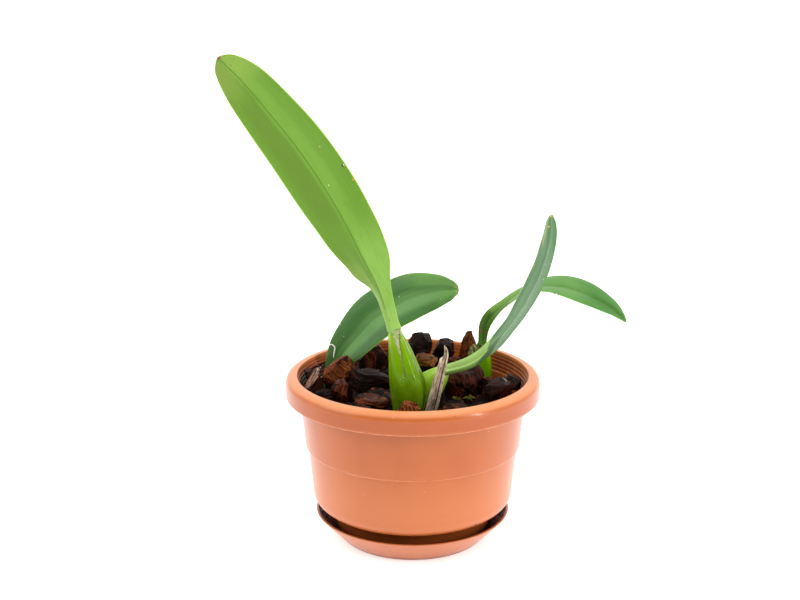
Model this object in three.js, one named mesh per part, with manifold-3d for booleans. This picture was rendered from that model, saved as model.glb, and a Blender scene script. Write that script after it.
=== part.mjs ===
// Potted Bulbophyllum rufinum: a small orchid with four one-leaved pseudobulbs on a creeping rhizome,
// standing in pine bark in a moulded plastic pot on its saucer.
// Millimetres, +Z up. The origin is the centre of the saucer's underside, -Y is the front.

import * as THREE from 'three';
import { mergeVertices } from 'three/addons/utils/BufferGeometryUtils.js';
import Module from 'manifold-3d';

const wasm = await Module();
wasm.setup();
const { Manifold, Mesh } = wasm;

// Pot and saucer

const TURN_SEGMENTS = 40;
const FILL_SEGMENTS = 20;
const RIM_RADIUS = 65;
const RIM_TOP_Z = 86.9;
const LIP_RADIUS = 59;
const COLLAR_CORNER = 3;
const COLLAR_BOTTOM_Z = 76.1;
const COLLAR_WALL = 1.5;
const WALL = 1.4;
const UPPER_WALL_TOP_R = 57.8;
const UPPER_WALL_FOOT_R = 55.4;
const STEP_Z = 49.8;
const LOWER_WALL_TOP_R = 54;
const LOWER_WALL_FOOT_R = 51.5;
const FOOT_CORNER_Z = 22.5;
const FOOT_CORNER = 4.5;
const CUP_TOP_R = 42;
const CUP_FOOT_R = 33.8;
const POT_BOTTOM_Z = 2.2;
const INNER_STEPS = 5;
const INNER_STEP_RISE = 1.85;
const INNER_STEP_RUN = 0.52;
const DRAIN_RADIUS = 3.5;
const DRAIN_CIRCLE_R = 24;
const DRAIN_COUNT = 6;

const SAUCER_FOOT_R = 37.4;
const SAUCER_LIP_R = 50.4;
const SAUCER_HEIGHT = 14;
const SAUCER_WALL_ACROSS = 1.7;
const SAUCER_FLOOR = 1.9;

// Gaps: faces that touch on the real plant stand this far apart

const GAP = 0.4;

// Bark

const BARK_SEED = 2611;
const BED_EDGE_Z = 69.5;
const BED_CENTRE_Z = 75;
const MOUND_Z = 75.2;
const MOUND_CROWN = 3;
const MOUND_BACK_SLOPE = 0.1;
const CHIP_SPACING = 15;
const CHIP_FIELD_R = 51;

// Colours and finishes

function finish(color, roughness) {
  return new THREE.MeshStandardMaterial({ color, roughness, metalness: 0 });
}

const terracotta = () => finish('#d0703f', 0.42);
const darkBark = () => finish('#2a1712', 0.8);
const redBark = () => finish('#6b3220', 0.75);
const tanBark = () => finish('#8c5a34', 0.8);
const paleBark = () => finish('#b08a78', 0.8);
const youngGreen = () => finish('#7fae3e', 0.4);
const deepGreen = () => finish('#4f7f3c', 0.35);
const bulbGreen = () => finish('#6f9e17', 0.3);
const rootBrown = () => finish('#8a7a58', 0.8);
const dryGrey = () => finish('#8d8268', 0.85);

// Solids

function seededRandom(seed) {
  let state = seed;
  return () => {
    state = (state + 0x6d2b79f5) | 0;
    let mixed = Math.imul(state ^ (state >>> 15), 1 | state);
    mixed = (mixed + Math.imul(mixed ^ (mixed >>> 7), 61 | mixed)) ^ mixed;
    return ((mixed ^ (mixed >>> 14)) >>> 0) / 4294967296;
  };
}

function welded(geometry) {
  const bare = geometry.clone();
  bare.deleteAttribute('normal');
  bare.deleteAttribute('uv');
  return mergeVertices(bare, 1e-4);
}

function toSolid(geometry) {
  const shape = welded(geometry);
  const vertProperties = new Float32Array(shape.attributes.position.array);
  const triVerts = new Uint32Array(shape.index.array);
  const solid = new Manifold(new Mesh({ numProp: 3, vertProperties, triVerts }));
  if (solid.volume() > 0) return solid;
  return new Manifold(new Mesh({ numProp: 3, vertProperties, triVerts: triVerts.reverse() }));
}

function toGeometry(solid) {
  const mesh = solid.getMesh();
  const geometry = new THREE.BufferGeometry();
  geometry.setAttribute('position', new THREE.BufferAttribute(mesh.vertProperties, 3));
  geometry.setIndex(new THREE.BufferAttribute(mesh.triVerts, 1));
  geometry.computeVertexNormals();
  return geometry;
}

// The space that a solid needs round itself: its skin moved out by the gap.
function roomFor(solid, gap = GAP) {
  const skin = toGeometry(solid);
  const { position, normal } = skin.attributes;
  for (let i = 0; i < position.count; i += 1) {
    position.setXYZ(
      i,
      position.getX(i) + gap * normal.getX(i),
      position.getY(i) + gap * normal.getY(i),
      position.getZ(i) + gap * normal.getZ(i),
    );
  }
  return toSolid(skin);
}

function largestBody(solid) {
  const bodies = solid.decompose();
  return bodies.reduce((best, body) => (body.volume() > best.volume() ? body : best));
}

function clearOf(solid, neighbours) {
  const cut = neighbours.reduce((rest, neighbour) => rest.subtract(roomFor(neighbour)), solid);
  return largestBody(cut);
}

function turned(profile, segments = TURN_SEGMENTS) {
  const points = profile.map(([radius, z]) => new THREE.Vector2(radius, z));
  const lathe = new THREE.LatheGeometry(points, segments);
  lathe.rotateX(Math.PI / 2);
  return toSolid(lathe);
}

// Skins rings of equal count and closes both ends; the far half of each ring is split the other
// way, so that the two faces of a thin blade are split alike.
function loft(rings) {
  const count = rings[0].length;
  const positions = rings.flat().flatMap((point) => point.toArray());
  const index = [];
  for (let ring = 0; ring < rings.length - 1; ring += 1) {
    for (let k = 0; k < count; k += 1) {
      const a = ring * count + k;
      const b = ring * count + ((k + 1) % count);
      const c = b + count;
      const d = a + count;
      if (k < count / 2) index.push(a, b, c, a, c, d);
      else index.push(a, b, d, b, c, d);
    }
  }
  const last = (rings.length - 1) * count;
  for (let k = 0; k < count / 2 - 1; k += 1) {
    const [a, b, c, d] = [k, k + 1, count - 2 - k, count - 1 - k];
    index.push(a, c, b, a, d, c);
    index.push(last + a, last + b, last + c, last + a, last + c, last + d);
  }
  const geometry = new THREE.BufferGeometry();
  geometry.setAttribute('position', new THREE.Float32BufferAttribute(positions, 3));
  geometry.setIndex(index);
  return toSolid(geometry);
}

function curveThrough(triples) {
  const points = triples.map((triple) => new THREE.Vector3(...triple));
  return new THREE.CatmullRomCurve3(points, false, 'catmullrom', 0.5);
}

function arc(centreR, centreZ, radius, fromDegrees, toDegrees, steps) {
  return Array.from({ length: steps + 1 }, (_, step) => {
    const angle = THREE.MathUtils.degToRad(THREE.MathUtils.lerp(fromDegrees, toDegrees, step / steps));
    return [centreR + radius * Math.cos(angle), centreZ + radius * Math.sin(angle)];
  });
}

// Saucer: a straight cone wall on a flat floor.

function saucerSolid() {
  const slope = (SAUCER_LIP_R - SAUCER_FOOT_R) / SAUCER_HEIGHT;
  const innerFootR = SAUCER_FOOT_R + slope * SAUCER_FLOOR - SAUCER_WALL_ACROSS;
  const innerLipR = SAUCER_LIP_R - SAUCER_WALL_ACROSS;
  const edge = 0.4;
  return turned([
    [0, 0],
    [SAUCER_FOOT_R - edge, 0],
    [SAUCER_FOOT_R + edge / 2, edge],
    [SAUCER_LIP_R, SAUCER_HEIGHT - edge],
    [SAUCER_LIP_R - edge, SAUCER_HEIGHT],
    [innerLipR + edge, SAUCER_HEIGHT],
    [innerLipR, SAUCER_HEIGHT - edge],
    [innerFootR, SAUCER_FLOOR],
    [0, SAUCER_FLOOR],
  ]);
}

// Pot: thin wall with a hollow turned-down collar, a ledge half way up, a narrow base cup and a
// staircase of fine rings inside the mouth.

function collarProfile() {
  const skirtInnerR = RIM_RADIUS - COLLAR_WALL;
  const cornerZ = RIM_TOP_Z - 0.7 - COLLAR_CORNER;
  return [
    [LIP_RADIUS, RIM_TOP_Z - 0.4],
    [LIP_RADIUS + 0.4, RIM_TOP_Z],
    [LIP_RADIUS + 1.6, RIM_TOP_Z - 0.15],
    ...arc(RIM_RADIUS - COLLAR_CORNER, cornerZ, COLLAR_CORNER, 88, 0, 3),
    [RIM_RADIUS - 0.1, COLLAR_BOTTOM_Z + 0.2],
    [RIM_RADIUS - 0.35, COLLAR_BOTTOM_Z],
    [skirtInnerR + 0.2, COLLAR_BOTTOM_Z],
    [skirtInnerR, COLLAR_BOTTOM_Z + 0.2],
    [skirtInnerR, cornerZ],
    [skirtInnerR - 0.8, cornerZ + 1.1],
    [LIP_RADIUS + 2, cornerZ + 1.3],
    [LIP_RADIUS + 1.5, cornerZ + 0.5],
  ];
}

function outerWallProfile() {
  return [
    [UPPER_WALL_TOP_R, COLLAR_BOTTOM_Z],
    [UPPER_WALL_FOOT_R, STEP_Z],
    [LOWER_WALL_TOP_R, STEP_Z - 0.5],
    ...arc(LOWER_WALL_FOOT_R - FOOT_CORNER, FOOT_CORNER_Z, FOOT_CORNER, 0, -90, 3),
    [CUP_TOP_R + 0.4, FOOT_CORNER_Z - FOOT_CORNER],
    [CUP_TOP_R, FOOT_CORNER_Z - FOOT_CORNER - 0.4],
    [CUP_TOP_R - 1.2, 10],
    [CUP_TOP_R - 2.2, 6.5],
    [CUP_TOP_R - 3.9, 4.1],
    [CUP_FOOT_R + 1.7, 2.6],
    [CUP_FOOT_R, POT_BOTTOM_Z],
    [0, POT_BOTTOM_Z],
  ];
}

// The inside of the pot from the floor's centre up to the first ring; inset moves it inwards.
function innerWallProfile(inset) {
  const floorZ = POT_BOTTOM_Z + WALL + inset;
  const trayZ = FOOT_CORNER_Z - FOOT_CORNER + WALL + inset;
  const shrink = WALL + inset;
  return [
    [0, floorZ],
    [CUP_FOOT_R - 0.2 - inset, floorZ],
    [CUP_TOP_R - 4.8 - inset, floorZ + 1.9],
    [CUP_TOP_R - 2.6 - inset, 10.3],
    [CUP_TOP_R - WALL - inset, trayZ],
    ...arc(LOWER_WALL_FOOT_R - FOOT_CORNER, FOOT_CORNER_Z, FOOT_CORNER - shrink, -90, 0, 2),
    [LOWER_WALL_TOP_R - shrink, STEP_Z - 1.2],
    [UPPER_WALL_FOOT_R - shrink, STEP_Z + 0.4],
    [UPPER_WALL_TOP_R - shrink, COLLAR_BOTTOM_Z + 0.5],
  ];
}

function mouthRings() {
  const startR = UPPER_WALL_TOP_R - WALL;
  const startZ = COLLAR_BOTTOM_Z + 0.5;
  return Array.from({ length: INNER_STEPS }, (_, step) => [
    [startR + INNER_STEP_RUN * (step + 1), startZ + INNER_STEP_RISE * step],
    [startR + INNER_STEP_RUN * (step + 1), startZ + INNER_STEP_RISE * (step + 1)],
  ]).flat();
}

function drainHoles() {
  const places = [[0, 0]];
  for (let hole = 0; hole < DRAIN_COUNT; hole += 1) {
    const angle = (2 * Math.PI * hole) / DRAIN_COUNT;
    places.push([DRAIN_CIRCLE_R * Math.cos(angle), DRAIN_CIRCLE_R * Math.sin(angle)]);
  }
  return places.map(([x, y]) => {
    const bore = new THREE.CylinderGeometry(DRAIN_RADIUS, DRAIN_RADIUS, 6, 12);
    bore.rotateX(Math.PI / 2);
    bore.translate(x, y, POT_BOTTOM_Z + WALL / 2);
    return toSolid(bore);
  });
}

function potSolid() {
  const rings = mouthRings();
  rings.pop();
  const profile = [
    ...collarProfile(),
    ...outerWallProfile(),
    ...innerWallProfile(0),
    ...rings,
  ];
  profile.push(profile[0]);
  return drainHoles().reduce((pot, hole) => pot.subtract(hole), turned(profile));
}

// The space inside the pot, with a straight chimney over its mouth.
function potRoom() {
  const rings = mouthRings().map(([radius, z]) => [radius - GAP, z + GAP]);
  const [mouthR] = rings.at(-1);
  const chimneyZ = 130;
  const outline = [...innerWallProfile(GAP), ...rings, [mouthR, chimneyZ], [0, chimneyZ]];
  return turned(outline, FILL_SEGMENTS);
}

// Plant: stems

// A stem through stations [x, y, z, radius]. Ridges run along it; squash flattens it across.
function stemSolid(stations, { sides, steps, ridges = 0, ridgeDepth = 0, spin = 0, reference }) {
  const axis = curveThrough(stations.map(([x, y, z]) => [x, y, z]));
  const girth = curveThrough(stations.map((station) => [station[3], 0, 0]));
  const rings = [];
  for (let step = 0; step <= steps; step += 1) {
    const t = step / steps;
    const along = axis.getTangent(t);
    const across = new THREE.Vector3(...reference).cross(along).normalize();
    const over = along.clone().cross(across);
    const radius = girth.getPoint(t).x;
    const ring = [];
    for (let side = 0; side < sides; side += 1) {
      const angle = (2 * Math.PI * side) / sides;
      const swell = 1 + ridgeDepth * Math.cos(ridges * (angle - spin));
      const point = axis.getPoint(t);
      point.addScaledVector(across, radius * swell * Math.cos(angle));
      point.addScaledVector(over, radius * swell * Math.sin(angle));
      ring.push(point);
    }
    rings.push(ring);
  }
  return loft(rings);
}

const BULB_SHAPE = { sides: 16, steps: 11, ridges: 5, ridgeDepth: 0.05, spin: 0.35, reference: [0, 1, 0] };
const SLIM_BULB_SHAPE = { ...BULB_SHAPE, sides: 10, steps: 7 };

const BULBS = {
  front: [
    [-2.2, -19, 63.5, 5.2],
    [-2.4, -20.2, 72, 7.2],
    [-2.2, -21, 79, 8.6],
    [-2.5, -21.5, 85.2, 8.9],
    [-4.5, -22, 95, 7.6],
    [-7, -22, 106.3, 5.2],
    [-8.6, -22, 112.2, 3.8],
    [-9.6, -22, 116.7, 2.8],
  ],
  right: [
    [1.6, -3.4, 63.5, 4.4],
    [2.7, -4.8, 71, 6.2],
    [5.4, -6.8, 77.5, 7.2],
    [9.2, -9, 83.2, 7],
    [12.6, -10.6, 87.6, 5.4],
    [15, -11.5, 90.6, 3.7],
    [16.9, -12, 92.6, 2.6],
  ],
  back: [
    [38.2, 27, 64, 4],
    [38, 27, 76, 4.5],
    [37.8, 26.5, 84, 4.1],
    [37.3, 25, 91, 2.9],
    [37, 24, 95.4, 2.2],
  ],
  left: [
    [-41.6, 22.6, 53, 3.8],
    [-42.2, 23, 60, 4.8],
    [-42.8, 23.4, 66.5, 3.6],
    [-43.2, 23.8, 70.6, 2.3],
  ],
};

const RHIZOME_PATH = [
  [-42, 22.5, 51, 2.4],
  [-24, 4, 57, 2.6],
  [-10, -12, 60.5, 2.7],
  [-2.5, -19, 62, 2.9],
  [1.6, -4, 62, 2.8],
  [20, 10, 62, 2.6],
  [38.5, 27, 62, 2.5],
];

const ROOT_REACH = 26;
const ROOT_RADIUS = 1.1;

function rootSolid([x, y, z], heading) {
  const outX = Math.cos(heading);
  const outY = Math.sin(heading);
  const stations = [
    [x, y, z, ROOT_RADIUS * 1.2],
    [x + outX * ROOT_REACH * 0.35, y + outY * ROOT_REACH * 0.35, z - 5, ROOT_RADIUS],
    [x + outX * ROOT_REACH * 0.6, y + outY * ROOT_REACH * 0.6, z - 14, ROOT_RADIUS],
    [x + outX * ROOT_REACH * 0.7, y + outY * ROOT_REACH * 0.7, z - ROOT_REACH, ROOT_RADIUS * 0.7],
  ];
  return stemSolid(stations, { sides: 4, steps: 4, reference: [-outY, outX, 0.2] });
}

// Creeping stem with the roots that hold it in the bark.
function rhizomeSolid() {
  const stem = stemSolid(RHIZOME_PATH, { sides: 6, steps: 14, reference: [0, 0, 1] });
  const roots = [
    rootSolid([-24, 4, 57], 4.2),
    rootSolid([-3, -18, 62], 4.9),
    rootSolid([-3, -18, 62], 2.6),
    rootSolid([2, -4, 62], 5.6),
    rootSolid([20, 10, 62], 2.2),
  ];
  return roots.reduce((sum, root) => sum.add(root), stem);
}

function bulbShapes() {
  const shapes = Object.entries(BULBS).map(([name, stations]) => {
    const slim = name === 'back' || name === 'left';
    return [name, stemSolid(stations, slim ? SLIM_BULB_SHAPE : BULB_SHAPE)];
  });
  return Object.fromEntries(shapes);
}

// Plant: leaves

// Stations run from the petiole to the tip: place of the midrib, half width, fold of each half
// above the flat in degrees, thickness at the midrib, and the direction of one blade edge.
const LEAVES = {
  tall: {
    rings: 22,
    stations: [
      { at: [-9.6, -22, 116.4], half: 2.9, fold: 45, thick: 3, side: [-0.93, 0.25, -0.27] },
      { at: [-16, -25, 136], half: 5.9, fold: 40, thick: 2, side: [-0.91, 0.27, -0.31] },
      { at: [-24.8, -28, 154.6], half: 13.4, fold: 24, thick: 1.5, side: [-0.91, 0.13, -0.4] },
      { at: [-33.6, -31, 173.1], half: 14.6, fold: 14, thick: 1.3, side: [-0.88, -0.06, -0.46] },
      { at: [-43.3, -34, 190.6], half: 15.2, fold: 12, thick: 1.2, side: [-0.81, -0.22, -0.53] },
      { at: [-53.8, -37, 207.1], half: 14.7, fold: 12, thick: 1.2, side: [-0.78, -0.24, -0.58] },
      { at: [-65, -41, 222.5], half: 13.2, fold: 11, thick: 1.1, side: [-0.76, -0.22, -0.62] },
      { at: [-76, -45.5, 237], half: 10.8, fold: 10, thick: 1, side: [-0.73, -0.19, -0.66] },
      { at: [-84, -49.4, 246.2], half: 6.4, fold: 9, thick: 0.9, side: [-0.72, -0.16, -0.67] },
      { at: [-87.4, -51, 250], half: 1.2, fold: 8, thick: 0.8, side: [-0.71, -0.14, -0.69] },
    ],
  },
  left: {
    rings: 18,
    stations: [
      { at: [-43.3, 23.9, 70.4], half: 2.6, fold: 40, thick: 2.4, side: [0.68, -0.72, -0.1] },
      { at: [-41, 23.6, 80.4], half: 5.9, fold: 28, thick: 1.8, side: [0.65, -0.66, -0.38] },
      { at: [-36, 23, 89.9], half: 9.8, fold: 22, thick: 1.5, side: [0.62, -0.58, -0.53] },
      { at: [-28.1, 22.5, 99.5], half: 13, fold: 18, thick: 1.3, side: [0.58, -0.62, -0.53] },
      { at: [-19.8, 22, 108.5], half: 14.5, fold: 15, thick: 1.2, side: [0.48, -0.63, -0.61] },
      { at: [-9.7, 21, 115.4], half: 15, fold: 14, thick: 1.2, side: [0.31, -0.7, -0.65] },
      { at: [0.8, 19, 121.6], half: 13, fold: 13, thick: 1.1, side: [0.25, -0.55, -0.8] },
      { at: [12.3, 17, 125.2], half: 9.4, fold: 12, thick: 1, side: [0.11, -0.39, -0.91] },
      { at: [20, 15.4, 126.4], half: 5.6, fold: 11, thick: 0.9, side: [0.07, -0.25, -0.97] },
      { at: [23.9, 14.5, 126.4], half: 1.9, fold: 10, thick: 0.8, side: [0.06, -0.19, -0.98] },
    ],
  },
  right: {
    rings: 20,
    stations: [
      { at: [16.6, -12, 92.2], half: 2.4, fold: 30, thick: 2.8, side: [0.24, -0.41, -0.88] },
      { at: [29.1, -12, 95.7], half: 2.8, fold: 28, thick: 2.4, side: [0.33, -0.67, -0.67] },
      { at: [39.3, -12, 103], half: 3.8, fold: 22, thick: 1.9, side: [0.29, -0.89, -0.34] },
      { at: [47.5, -12.5, 113.1], half: 5.7, fold: 12, thick: 1.5, side: [0.17, -0.97, -0.19] },
      { at: [54.2, -13.5, 124], half: 8.8, fold: 9, thick: 1.3, side: [0.19, -0.96, -0.19] },
      { at: [60, -14.5, 135.6], half: 9.7, fold: 8, thick: 1.2, side: [0.23, -0.96, -0.18] },
      { at: [64.2, -15.5, 147.8], half: 8.5, fold: 7, thick: 1.1, side: [0.29, -0.94, -0.18] },
      { at: [66.6, -17, 160.2], half: 5.6, fold: 7, thick: 1, side: [0.44, -0.89, -0.13] },
      { at: [66.8, -17.7, 168.6], half: 2.7, fold: 6, thick: 0.9, side: [0.6, -0.8, -0.08] },
      { at: [66.5, -18, 172.6], half: 0.7, fold: 6, thick: 0.8, side: [0.68, -0.73, -0.04] },
    ],
  },
  back: {
    rings: 20,
    stations: [
      { at: [37, 24, 95], half: 2, fold: 35, thick: 2.6, side: [0.92, -0.31, -0.24] },
      { at: [39.3, 24, 106.4], half: 3.7, fold: 30, thick: 2.2, side: [0.73, -0.54, -0.42] },
      { at: [48.3, 24, 115.6], half: 4.7, fold: 20, thick: 1.7, side: [0.16, -0.97, -0.18] },
      { at: [58.3, 24, 122.5], half: 6.9, fold: 12, thick: 1.4, side: [0, -1, -0.05] },
      { at: [69.2, 23.5, 126], half: 8.8, fold: 9, thick: 1.2, side: [-0.04, -0.98, -0.19] },
      { at: [80.4, 22.5, 125.3], half: 9.4, fold: 8, thick: 1.2, side: [-0.17, -0.9, -0.4] },
      { at: [91.5, 21, 121.9], half: 8.5, fold: 8, thick: 1.1, side: [-0.33, -0.82, -0.47] },
      { at: [102.1, 19, 116.4], half: 6.3, fold: 8, thick: 1, side: [-0.46, -0.81, -0.37] },
      { at: [107.9, 17, 112], half: 3.4, fold: 7, thick: 0.9, side: [-0.49, -0.81, -0.31] },
      { at: [110.8, 16, 109], half: 0.8, fold: 6, thick: 0.8, side: [-0.51, -0.81, -0.28] },
    ],
  },
};

const DRIED_SHEATH = {
  rings: 12,
  stations: [
    { at: [7, -25.6, 69], half: 2.9, fold: 38, thick: 1.4, side: [0.95, 0.2, -0.1] },
    { at: [9.3, -26, 78], half: 3.4, fold: 36, thick: 1.4, side: [0.96, 0.15, -0.12] },
    { at: [12, -26.3, 90], half: 3.1, fold: 34, thick: 1.3, side: [0.97, 0.1, -0.14] },
    { at: [14.4, -26.7, 100.5], half: 2.4, fold: 32, thick: 1.2, side: [0.97, 0.1, -0.2] },
    { at: [15.5, -27, 105.5], half: 1.8, fold: 30, thick: 1.1, side: [0.97, 0.1, -0.2] },
    { at: [15.2, -27.1, 109.3], half: 0.5, fold: 26, thick: 0.9, side: [0.97, 0.1, -0.2] },
  ],
};

const BLADE_COLUMNS = 7;
const BLADE_EDGE = 0.6;
const HALF_ARCH = 0.07;

function bladeSolid({ rings, stations }) {
  const midrib = curveThrough(stations.map((station) => station.at));
  const sideway = curveThrough(stations.map((station) => station.side));
  const section = curveThrough(stations.map(({ half, fold, thick }) => [half, fold, thick]));
  const hoops = [];
  for (let ring = 0; ring < rings; ring += 1) {
    const t = ring / (rings - 1);
    const along = midrib.getTangent(t);
    const across = sideway.getPoint(t);
    across.addScaledVector(along, -across.dot(along)).normalize();
    const upper = across.clone().cross(along);
    const [half, foldDegrees, thick] = section.getPoint(t).toArray();
    const fold = THREE.MathUtils.degToRad(foldDegrees);
    const upperRow = [];
    const lowerRow = [];
    for (let column = 0; column < BLADE_COLUMNS; column += 1) {
      const u = (2 * column) / (BLADE_COLUMNS - 1) - 1;
      const reach = half * Math.abs(u);
      const lift = reach * Math.sin(fold) + HALF_ARCH * half * 4 * Math.abs(u) * (1 - Math.abs(u));
      const thickness = BLADE_EDGE + (thick - BLADE_EDGE) * (1 - u * u);
      const middle = midrib.getPoint(t);
      middle.addScaledVector(across, Math.sign(u) * reach * Math.cos(fold));
      middle.addScaledVector(upper, lift);
      upperRow.push(middle.clone().addScaledVector(upper, thickness / 2));
      lowerRow.unshift(middle.addScaledVector(upper, -thickness / 2));
    }
    hoops.push([...upperRow, ...lowerRow]);
  }
  return loft(hoops);
}

// A film of old sheath that still clings to the upper front of the front pseudobulb.
const FILM = {
  steps: 8,
  columns: 3,
  thickness: 0.6,
  from: 0.5,
  to: 0.96,
  lowAngle: -1.8,
  highAngle: -1.1,
  spread: 0.32,
};

function clingingFilm(stations) {
  const axis = curveThrough(stations.map(([x, y, z]) => [x, y, z]));
  const girth = curveThrough(stations.map((station) => [station[3], 0, 0]));
  const hoops = [];
  for (let step = 0; step <= FILM.steps; step += 1) {
    const t = THREE.MathUtils.lerp(FILM.from, FILM.to, step / FILM.steps);
    const centre = axis.getPoint(t);
    const radius = girth.getPoint(t).x * (1 + BULB_SHAPE.ridgeDepth) + GAP;
    const angle = THREE.MathUtils.lerp(FILM.lowAngle, FILM.highAngle, step / FILM.steps);
    const narrowing = THREE.MathUtils.lerp(0.35, 1, step / FILM.steps);
    const outerRow = [];
    const innerRow = [];
    for (let column = 0; column < FILM.columns; column += 1) {
      const swing = (column / (FILM.columns - 1) - 0.5) * 2 * FILM.spread * narrowing;
      const direction = new THREE.Vector3(Math.cos(angle + swing), Math.sin(angle + swing), 0);
      outerRow.push(centre.clone().addScaledVector(direction, radius + FILM.thickness));
      innerRow.unshift(centre.clone().addScaledVector(direction, radius));
    }
    hoops.push([...outerRow, ...innerRow]);
  }
  return loft(hoops);
}

const WITHERED_SHEATH = [
  [35.6, 25.6, 84.5, 1.6],
  [33.6, 23.4, 88.5, 3],
  [33, 22.4, 92.6, 3.2],
  [34.6, 22, 96.4, 1.4],
];
const WITHERED_SHAPE = { sides: 10, steps: 6, ridges: 5, ridgeDepth: 0.14, reference: [0, 1, 0] };

// Bark

const CHIP_ROWS = [
  { height: -1, spread: 0.68 },
  { height: -0.5, spread: 0.98 },
  { height: 0.45, spread: 1 },
  { height: 1, spread: 0.7 },
];

// A chunk of bark: a blunt slab with uneven, squarish rows.
function chipSolid({ at, size, turn, seed, sides = 8, rows = CHIP_ROWS }) {
  const random = seededRandom(seed);
  const placing = new THREE.Matrix4().makeRotationFromEuler(
    new THREE.Euler(...turn.map(THREE.MathUtils.degToRad), 'ZYX'),
  );
  placing.setPosition(...at);
  const hoops = rows.map(({ height, spread }) => Array.from({ length: sides }, (_, side) => {
    const angle = (2 * Math.PI * (side + 0.35 * random())) / sides;
    const [c, s] = [Math.cos(angle), Math.sin(angle)];
    const square = (Math.abs(c) ** 3 + Math.abs(s) ** 3) ** (-1 / 3);
    const reach = spread * square * (0.86 + 0.2 * random());
    const point = new THREE.Vector3(
      (reach * c * size[0]) / 2,
      (reach * s * size[1]) / 2,
      (height * size[2]) / 2,
    );
    return point.applyMatrix4(placing);
  }));
  return loft(hoops);
}

const POINTED_CHIP_ROWS = [
  { height: -1, spread: 0.8 },
  { height: 0, spread: 1 },
  { height: 0.6, spread: 0.72 },
  { height: 1, spread: 0.24 },
];

const SMALL_CHIP_ROWS = [
  { height: -1, spread: 0.8 },
  { height: 0.2, spread: 1 },
  { height: 1, spread: 0.66 },
];

function moundHeight(x, y) {
  const crown = MOUND_CROWN * (1 - (x * x + y * y) / CHIP_FIELD_R ** 2);
  return MOUND_Z + crown + MOUND_BACK_SLOPE * y;
}

// Small chips strewn over the bed on a jittered grid of staggered rows.
function strewnChips() {
  const random = seededRandom(BARK_SEED);
  const spread = (low, high) => low + (high - low) * random();
  const chips = [];
  const reach = Math.ceil(CHIP_FIELD_R / CHIP_SPACING);
  for (let row = -reach; row <= reach; row += 1) {
    for (let column = -reach; column <= reach; column += 1) {
      const stagger = row % 2 === 0 ? 0 : 0.5;
      const x = (column + stagger + spread(-0.2, 0.2)) * CHIP_SPACING;
      const y = (row * 0.87 + spread(-0.2, 0.2)) * CHIP_SPACING;
      const size = [spread(15, 20), spread(12, 14), spread(7, 9)];
      const turn = [spread(-22, 22), spread(-22, 22), spread(0, 180)];
      const seed = Math.floor(spread(1, 9999));
      const z = moundHeight(x, y) - size[2] / 2;
      if (Math.hypot(x, y) < CHIP_FIELD_R) {
        chips.push(chipSolid({ at: [x, y, z], size, turn, seed, sides: 6, rows: SMALL_CHIP_ROWS }));
      }
    }
  }
  return chips;
}

function bedCore() {
  const room = innerWallProfile(GAP);
  const [topR] = room.pop();
  return turned([...room, [topR - 0.7, BED_EDGE_Z], [0, BED_CENTRE_Z]], FILL_SEGMENTS);
}

// Large chips that stand out of the mound, each where it shows in the pot.
const LARGE_CHIPS = {
  back_left: { at: [4, 38, 88], size: [14, 11, 18], turn: [0, 8, 10], seed: 11, look: redBark },
  back: { at: [16, 38.5, 85], size: [13, 12, 17], turn: [0, 20, -12], seed: 12, look: darkBark },
  back_pointed: {
    at: [29.2, 31, 90.5],
    size: [11, 7, 21],
    turn: [0, 6, -8],
    seed: 13,
    rows: POINTED_CHIP_ROWS,
    look: redBark,
  },
  back_dark: { at: [-20.5, 31, 83.5], size: [17, 10, 17], turn: [0, -8, 6], seed: 14, look: darkBark },
  tan_slab: { at: [7.4, 25.5, 85.2], size: [14, 9, 7], turn: [28, 0, 8], seed: 15, look: tanBark },
  behind_petiole: { at: [24, 24.5, 83.5], size: [11, 8, 9], turn: [10, 12, 20], seed: 16, look: darkBark },
  leaning: { at: [-38.5, 11.5, 82.5], size: [21, 9, 14], turn: [20, -48, 12], seed: 17, look: redBark },
  left_plate: { at: [-36, -8.5, 79.5], size: [13, 9, 13], turn: [24, 16, -20], seed: 18, look: redBark },
  left_pale: { at: [-51, 1, 82.8], size: [6, 8, 13], turn: [0, 33, 6], seed: 19, look: paleBark },
  long_dark: { at: [-21.5, 7.5, 79.4], size: [25, 12, 11], turn: [8, 6, 4], seed: 20, look: darkBark },
  front_left: { at: [-21, -14.5, 75.6], size: [19, 12, 7.5], turn: [10, 4, -6], seed: 21, look: redBark },
  front_small: { at: [-2.5, -34.5, 79], size: [14, 8, 8], turn: [0, -6, 6], seed: 22, look: redBark },
  right_large: { at: [24.8, -2.5, 80.4], size: [18, 12, 18], turn: [12, 10, 0], seed: 23, look: redBark },
  right_black: { at: [33.5, 8.5, 80.5], size: [8, 11, 14], turn: [0, -14, -12], seed: 24, look: darkBark },
  right_wide: { at: [43.2, -8.5, 79], size: [15.5, 13, 13], turn: [16, -10, 14], seed: 25, look: darkBark },
  far_right: { at: [52.8, 5.5, 79.5], size: [11, 11, 8], turn: [0, 14, 30], seed: 26, look: darkBark },
  far_left: { at: [-54.6, 9, 80.6], size: [9, 9, 11], turn: [10, 16, -10], seed: 28, look: darkBark },
  front_right: { at: [21, -26.5, 76], size: [15, 9, 5.5], turn: [6, 0, -14], seed: 27, look: redBark },
  right_small: { at: [38.4, 5, 81.4], size: [8, 6, 4], turn: [10, 12, -10], seed: 29, look: redBark },
};

// Each piece is cut clear of the whole shapes of those made before it: the rhizome, the pseudobulbs,
// the leaves and sheaths, the large chips and last the bed.

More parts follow.
